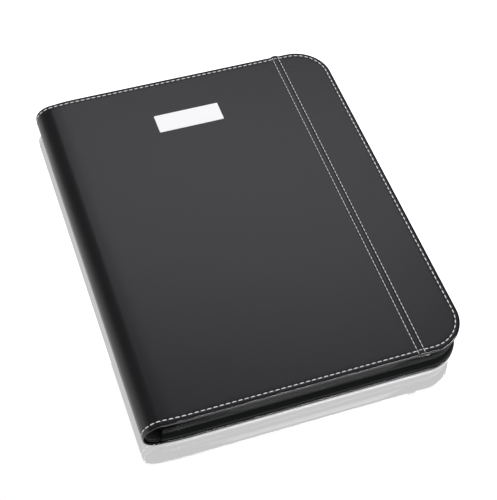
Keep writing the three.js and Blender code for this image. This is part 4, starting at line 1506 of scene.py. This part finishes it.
class PORTFOLIO_OT_writing_pad(bpy.types.Operator):
    """Makes the writing pad: its backing board, layers of sheets and cloth binding"""

    bl_idname = "portfolio.writing_pad"
    bl_label = "Writing pad"

    def execute(self, context):
        backing = refined_copy("pad_backing_board", "pad_backing", finish("grey_board"), "writing_pad",
                               "board",
                               0.0002)
        backing.modifiers["Edges"].harden_normals = False
        low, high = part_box("pad_sheets")
        thick = (high.z - low.z) / SHEET_LAYERS
        top = ruled_material(high.y - 0.034, 0.0081, low.x + 0.03)
        draw = random.Random(7)
        for index in range(SHEET_LAYERS):
            last = index == SHEET_LAYERS - 1
            slip = Vector((draw.uniform(-0.0004, 0), draw.uniform(0, 0.0005), 0))
            corner = Vector((low.x, low.y, low.z + index * thick)) - Vector((slip.x, -slip.y, 0))
            far = Vector((high.x, high.y, low.z + (index + 0.97) * thick)) + Vector((slip.x, 0, 0))
            bm = rounded_block(corner, far, 0.0015)
            leaves = finish_piece(f"pad_leaves_{index + 1}", bm, top if last else finish("page_edges"),
                                  "writing_pad", "paper", ("pad_sheets",), smooth=False)
            soften(leaves, 0.00012, 2)
        low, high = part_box("pad_binding")
        leaf = 0.015
        section = [Vector((high.y - leaf, high.z - 0.0002)), Vector((high.y - leaf + 0.001, high.z)),
                   Vector((high.y - 0.002, high.z))]
        for angle in spread(90, 0, 15):
            turn = math.radians(angle)
            section.append(Vector((high.y - 0.0008 + 0.0008 * math.cos(turn),
                                   high.z - 0.0008 + 0.0008 * math.sin(turn))))
        section += [Vector((high.y, z)) for z in spread(high.z - 0.002, low.z + 0.0002, 0.002)]
        xs = spread(low.x, high.x, 0.006)
        bm = bmesh.new()

        def place(column, row):
            wave = 0.00004 * math.sin(xs[column] * 420) * math.sin(row * 1.7)
            return Vector((xs[column], section[row].x, section[row].y + wave)), (xs[column], section[row].x
                                                                                 - section[row].y)

        map_grid(bm, len(xs), len(section), place)
        cloth = finish_piece("pad_binding_cloth", bm, finish("binding_cloth"), "writing_pad", "lining",
                             ("pad_binding",), way=(0, 0.3, 1))
        thicken(cloth, 0.0003)
        return {"FINISHED"}


def pocket_sheet(low, high, side, dip, corner, lift):
    """A pocket wall sewn down on three sides, its mouth towards the head: a sheet that rises from
    the seams on lift, with a hem along the mouth that dips in the middle."""
    width = high.x - low.x
    centre = (low.x + high.x) / 2
    seams = [0, 0.0004, 0.0009, 0.0015, 0.0023, 0.0035, 0.005]
    us = seams + spread(0.008, width - 0.008, 0.006) + [width - seam for seam in reversed(seams)]
    length = high.y - low.y
    hem = [length - 0.008, length - 0.0066, length - 0.006, length - 0.0054, length - 0.003,
           length - 0.0006, length]
    vs = seams + spread(0.008, length - 0.01, 0.006) + hem
    outer = high.z if side > 0 else low.z
    inner = low.z if side > 0 else high.z

    def place(column, row):
        u, v = us[column], vs[row]
        near = corner - min(v, corner)
        shrink = corner - math.sqrt(corner * corner - near * near)
        x = centre + (u / width - 0.5) * (width - 2 * shrink)
        mouth = dip * math.sin(math.pi * u / width) * eased((v / length - 0.4) / 0.6)
        y = low.y + v - mouth
        seam = min(u, width - u, v)
        rise = lift * math.sqrt(max(0, 1 - (1 - min(seam / 0.0035, 1)) ** 2))
        ridge = 0.00012 * math.exp(-((length - v - 0.006) / 0.0006) ** 2) * -1
        stitch = -0.00012 * math.exp(-((seam - 0.0026) / 0.0005) ** 2)
        wave = 0.00008 * math.sin(x * 61 + y * 23) * eased(seam / 0.02)
        height = (rise + ridge + stitch + wave) / lift
        z = inner + (outer - inner) * (1 - 1.0 / 1 * (1 - height) * min(1, lift / abs(outer - inner)))
        return Vector((x, y, z)), (x, y)

    bm = bmesh.new()
    map_grid(bm, len(us), len(vs), place)
    return bm


def add_pocket(node, name, body, slot, material, side, dip, thickness, lift=None):
    """One pocket with the stitching along its sewn sides and its hem."""
    low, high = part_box(node)
    lift = lift or (high.z - low.z) * 0.9
    bm = pocket_sheet(low, high, side, dip, 0.004, lift)
    sheet = finish_piece(name, bm, finish(material), body, slot, (node,), way=(0, 0, side))
    thicken(sheet, thickness)
    width = high.x - low.x
    seam = 0.0026
    outer = (high.z if side > 0 else low.z) - side * 0.00012
    turn = 0.004
    path = [Vector((low.x + seam, high.y - 0.001))]
    path += [Vector((low.x + seam, y)) for y in spread(high.y - 0.002, low.y + turn, 0.004)]
    for angle in spread(180, 270, 15):
        bend = math.radians(angle)
        path.append(Vector((low.x + turn + (turn - seam) * math.cos(bend),
                            low.y + turn + (turn - seam) * math.sin(bend))))
    path += [Vector((x, low.y + seam)) for x in spread(low.x + turn + 0.002, high.x - turn - 0.002, 0.004)]
    path += [Vector((low.x + high.x - p.x, p.y)) for p in reversed(path[:-len(path) // 2])
             if p.x < low.x + turn + 0.001 and low.y + seam < p.y]
    row = Line(path)
    hem = Line([Vector((x, high.y - 0.006 - dip * math.sin(math.pi * (x - low.x) / width)))
                for x in spread(low.x + 0.0035, high.x - 0.0035, 0.004)])
    form = stitch_form(0.0024, 0.0006)
    bm = bmesh.new()
    for line in (row, hem):
        sew_row(bm, form, 0.0032, line.total, lambda length, line=line: Vector((*line.at(length), outer)),
                lambda length: Vector((0, 0, side)))
    finish_piece(name + "_stitching", bm, finish("thread_black"), body, slot, tidy=False)
    return sheet


class PORTFOLIO_OT_pockets(bpy.types.Operator):
    """Makes the pad's sleeve, the document pocket, the card pockets and the pen loop"""

    bl_idname = "portfolio.pockets"
    bl_label = "Sleeve, pockets and pen loop"

    def execute(self, context):
        add_pocket("pad_sleeve", "pad_sleeve_cloth", "back_cover", "lining", "lining_cloth", 1, 0, 0.0006)
        add_pocket("document_pocket", "document_pocket_cloth", "front_cover", "lining", "lining_cloth", -1,
                   0.004, 0.0005)
        for index in (1, 2, 3):
            add_pocket(f"card_pocket_{index}", f"card_pocket_{index}_leather", "front_cover", "leather",
                       "leather_black", -1, 0.004, 0.0005)
        low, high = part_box("pen_loop")
        wall = 0.0006
        radius = 0.0045
        section = [Vector((low.x, high.z)), Vector((low.x, (low.z + high.z) / 2))]
        for start, end, centre_x in ((180, 270, low.x + radius), (270, 360, high.x - radius)):
            for angle in spread(start, end, 10):
                turn = math.radians(angle)
                section.append(Vector((centre_x + radius * math.cos(turn),
                                       low.z + radius + radius * math.sin(turn))))
        section += [Vector((high.x, (low.z + high.z) / 2)), Vector((high.x, high.z))]
        reach = [0]
        for start, end in zip(section, section[1:]):
            reach.append(reach[-1] + (end - start).length)
        ys = spread(low.y, high.y, 0.0015)
        bm = bmesh.new()

        def place(column, row):
            pinch = 1 - 0.012 * math.cos(ys[column] * 900)
            point = section[row]
            return Vector((point.x, ys[column] * pinch, point.y)), (reach[row], ys[column])

        map_grid(bm, len(ys), len(section), place)
        loop = finish_piece("pen_loop_elastic", bm, finish("elastic_ribbed"), "front_cover", "elastic",
                            ("pen_loop",), way=(0, 0, -1))
        thicken(loop, wall)
        return {"FINISHED"}


# Stage

def soft_box(name, azimuth, elevation, distance, width, height, power, colour):
    """A soft box that shines at the case; azimuth is from +Y towards +X, in degrees. Returns it."""
    data = bpy.data.lights.new(name, "AREA")
    data.shape = "RECTANGLE"
    data.size = width
    data.size_y = height
    data.energy = power
    data.color = colour
    lamp = bpy.data.objects.new(name, data)
    bpy.context.scene.collection.objects.link(lamp)
    turn, rise = math.radians(azimuth), math.radians(elevation)
    way = Vector((math.sin(turn) * math.cos(rise), math.cos(turn) * math.cos(rise), math.sin(rise)))
    lamp.location = Vector((0, 0, FRONT_HIGH.z)) + way * distance
    lamp.rotation_euler = (-way).to_track_quat("-Z", "Y").to_euler()
    lamp.visible_camera = False
    return lamp


def studio_world(ambient, mirrored_room):
    """Even light from all round. The camera and clear mirrors see a white room; satin surfaces
    mirror a dim one with a white wall at the spine's side."""
    world = bpy.data.worlds.new("studio")
    world.use_nodes = True
    nodes = Nodes(world.node_tree)
    way = nodes.add("ShaderNodeSeparateXYZ")
    nodes.link(nodes.add("ShaderNodeTexCoord").outputs["Generated"], way.inputs[0])
    low = nodes.add("ShaderNodeMapRange", interpolation_type="SMOOTHSTEP")
    nodes.link(way.outputs[2], low.inputs["Value"])
    beside = nodes.add("ShaderNodeMapRange", interpolation_type="SMOOTHSTEP")
    nodes.link(way.outputs[0], beside.inputs["Value"])
    near = nodes.add("ShaderNodeMapRange", interpolation_type="SMOOTHSTEP")
    nodes.link(way.outputs[1], near.inputs["Value"])
    for span, start, end in ((low, 0.6, 0.2), (beside, -0.4, -0.7), (near, 0.68, 0.48)):
        span.inputs["From Min"].default_value = start
        span.inputs["From Max"].default_value = end
    wall = nodes.maths("MULTIPLY", nodes.maths("MULTIPLY", low.outputs[0], near.outputs[0]),
                       beside.outputs[0])
    path = nodes.add("ShaderNodeLightPath")
    seen = nodes.maths("MAXIMUM", path.outputs["Is Camera Ray"], path.outputs["Is Singular Ray"])
    dim = nodes.blend(wall, (mirrored_room, mirrored_room, mirrored_room), (1, 1, 1))
    room = nodes.blend(path.outputs["Is Diffuse Ray"], dim, (ambient, ambient, ambient * 1.03))
    colour = nodes.blend(seen, room, (1, 1, 1))
    background = nodes.add("ShaderNodeBackground")
    nodes.link(colour, background.inputs["Color"])
    output = nodes.add("ShaderNodeOutputWorld")
    nodes.link(background.outputs[0], output.inputs["Surface"])
    bpy.context.scene.world = world


def floor_material(gloss):
    """White floor: lifted to plain white for the camera, with a mirror and a faint shadow."""
    material = bpy.data.materials.new("studio_floor")
    material.use_nodes = True
    nodes = Nodes(material.node_tree)
    path = nodes.add("ShaderNodeLightPath")
    matt = nodes.add("ShaderNodeBsdfDiffuse", Color=(0.9, 0.9, 0.9, 1))
    white = nodes.add("ShaderNodeEmission", Color=(1, 1, 1, 1), Strength=1.0)
    lit = nodes.add("ShaderNodeEmission", Color=(1, 1, 1, 1), Strength=1.08)
    mirror = nodes.add("ShaderNodeBsdfGlossy", Color=(1, 1, 1, 1), Roughness=0.0)
    lifted = nodes.add("ShaderNodeMixShader", Fac=0.86)
    nodes.link(matt.outputs[0], lifted.inputs[1])
    nodes.link(lit.outputs[0], lifted.inputs[2])
    glossy = nodes.add("ShaderNodeMixShader", Fac=gloss)
    nodes.link(lifted.outputs[0], glossy.inputs[1])
    nodes.link(mirror.outputs[0], glossy.inputs[2])
    shown = nodes.add("ShaderNodeMixShader")
    nodes.link(path.outputs["Is Camera Ray"], shown.inputs["Fac"])
    nodes.link(matt.outputs[0], shown.inputs[1])
    nodes.link(glossy.outputs[0], shown.inputs[2])
    mirrored = nodes.add("ShaderNodeMixShader")
    nodes.link(nodes.maths("MAXIMUM", path.outputs["Is Glossy Ray"], path.outputs["Is Transmission Ray"]),
               mirrored.inputs["Fac"])
    nodes.link(shown.outputs[0], mirrored.inputs[1])
    nodes.link(white.outputs[0], mirrored.inputs[2])
    output = nodes.add("ShaderNodeOutputMaterial")
    nodes.link(mirrored.outputs[0], output.inputs["Surface"])
    return material


CAMERA_PLACE = Vector((-0.24862, -0.62153, 0.86371))
CAMERA_RIGHT = Vector((0.944007, -0.326691, 0.04608))
CAMERA_UP = Vector((0.234097, 0.76167, 0.6042))
CAMERA_LENS = 92.11


class PORTFOLIO_OT_stage(bpy.types.Operator):
    """Sets the camera, the soft boxes and the white floor"""

    bl_idname = "portfolio.stage"
    bl_label = "Stage, lamps and camera"

    def execute(self, context):
        scene = context.scene
        stage = settings().stage
        for name in ("Cube", "Light", "Camera"):
            default = bpy.data.objects.get(name)
            if default:
                bpy.data.objects.remove(default)
        camera_data = bpy.data.cameras.new("view")
        camera_data.lens = CAMERA_LENS
        camera_data.clip_start = 0.01
        camera = bpy.data.objects.new("view", camera_data)
        scene.collection.objects.link(camera)
        back = CAMERA_RIGHT.cross(CAMERA_UP)
        matrix = Matrix((CAMERA_RIGHT, CAMERA_UP, back)).transposed().to_4x4()
        matrix.translation = CAMERA_PLACE
        camera.matrix_world = matrix
        scene.camera = camera

        soft_box("back_box", 19, 49, 1.5, 1.1, 0.66, stage.back_lamp, stage.lamp_colour)
        for name, azimuth, elevation in (("front_box", 160, 50), ("side_box", 118, 38)):
            strip = soft_box(name, azimuth, elevation, 1.5, 0.7, 0.12, stage.front_lamp, stage.lamp_colour)
            strip.visible_diffuse = False
        studio_world(stage.ambient, stage.mirrored_room)

        bm = bmesh.new()
        bmesh.ops.create_grid(bm, x_segments=1, y_segments=1, size=6)
        floor = finish_piece("floor", bm, floor_material(stage.floor_gloss), tidy=False)
        scene.view_settings.view_transform = "Standard"
        return {"FINISHED"}


class PortfolioSettings(bpy.types.PropertyGroup):
    """All settings of the portfolio."""

    case: PointerProperty(type=CaseSizes)
    zip: PointerProperty(type=ZipSizes)
    finishes: PointerProperty(type=Finishes)
    stage: PointerProperty(type=StageSettings)


STEPS = (PORTFOLIO_OT_stage, PORTFOLIO_OT_covers, PORTFOLIO_OT_padding, PORTFOLIO_OT_linings,
         PORTFOLIO_OT_seam_band, PORTFOLIO_OT_stitching, PORTFOLIO_OT_plate, PORTFOLIO_OT_zip,
         PORTFOLIO_OT_slider, PORTFOLIO_OT_writing_pad, PORTFOLIO_OT_pockets)


class PORTFOLIO_PT_sidebar(bpy.types.Panel):
    """Lists the steps that build the portfolio"""

    bl_idname = "PORTFOLIO_PT_sidebar"
    bl_label = "Zippered portfolio"
    bl_space_type = "VIEW_3D"
    bl_region_type = "UI"
    bl_category = "Portfolio"

    def draw(self, context):
        for step in STEPS:
            self.layout.operator(step.bl_idname)


CLASSES = (CaseSizes, ZipSizes, Finishes, StageSettings, PortfolioSettings, *STEPS, PORTFOLIO_PT_sidebar)


def register():
    for cls in CLASSES:
        bpy.utils.register_class(cls)
    bpy.types.Scene.portfolio = PointerProperty(type=PortfolioSettings)


def unregister():
    del bpy.types.Scene.portfolio
    for cls in reversed(CLASSES):
        bpy.utils.unregister_class(cls)


def main():
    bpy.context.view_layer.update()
    register()
    for step in STEPS:
        group, name = step.bl_idname.split(".")
        getattr(getattr(bpy.ops, group), name)()


if __name__ == "__main__":
    main()
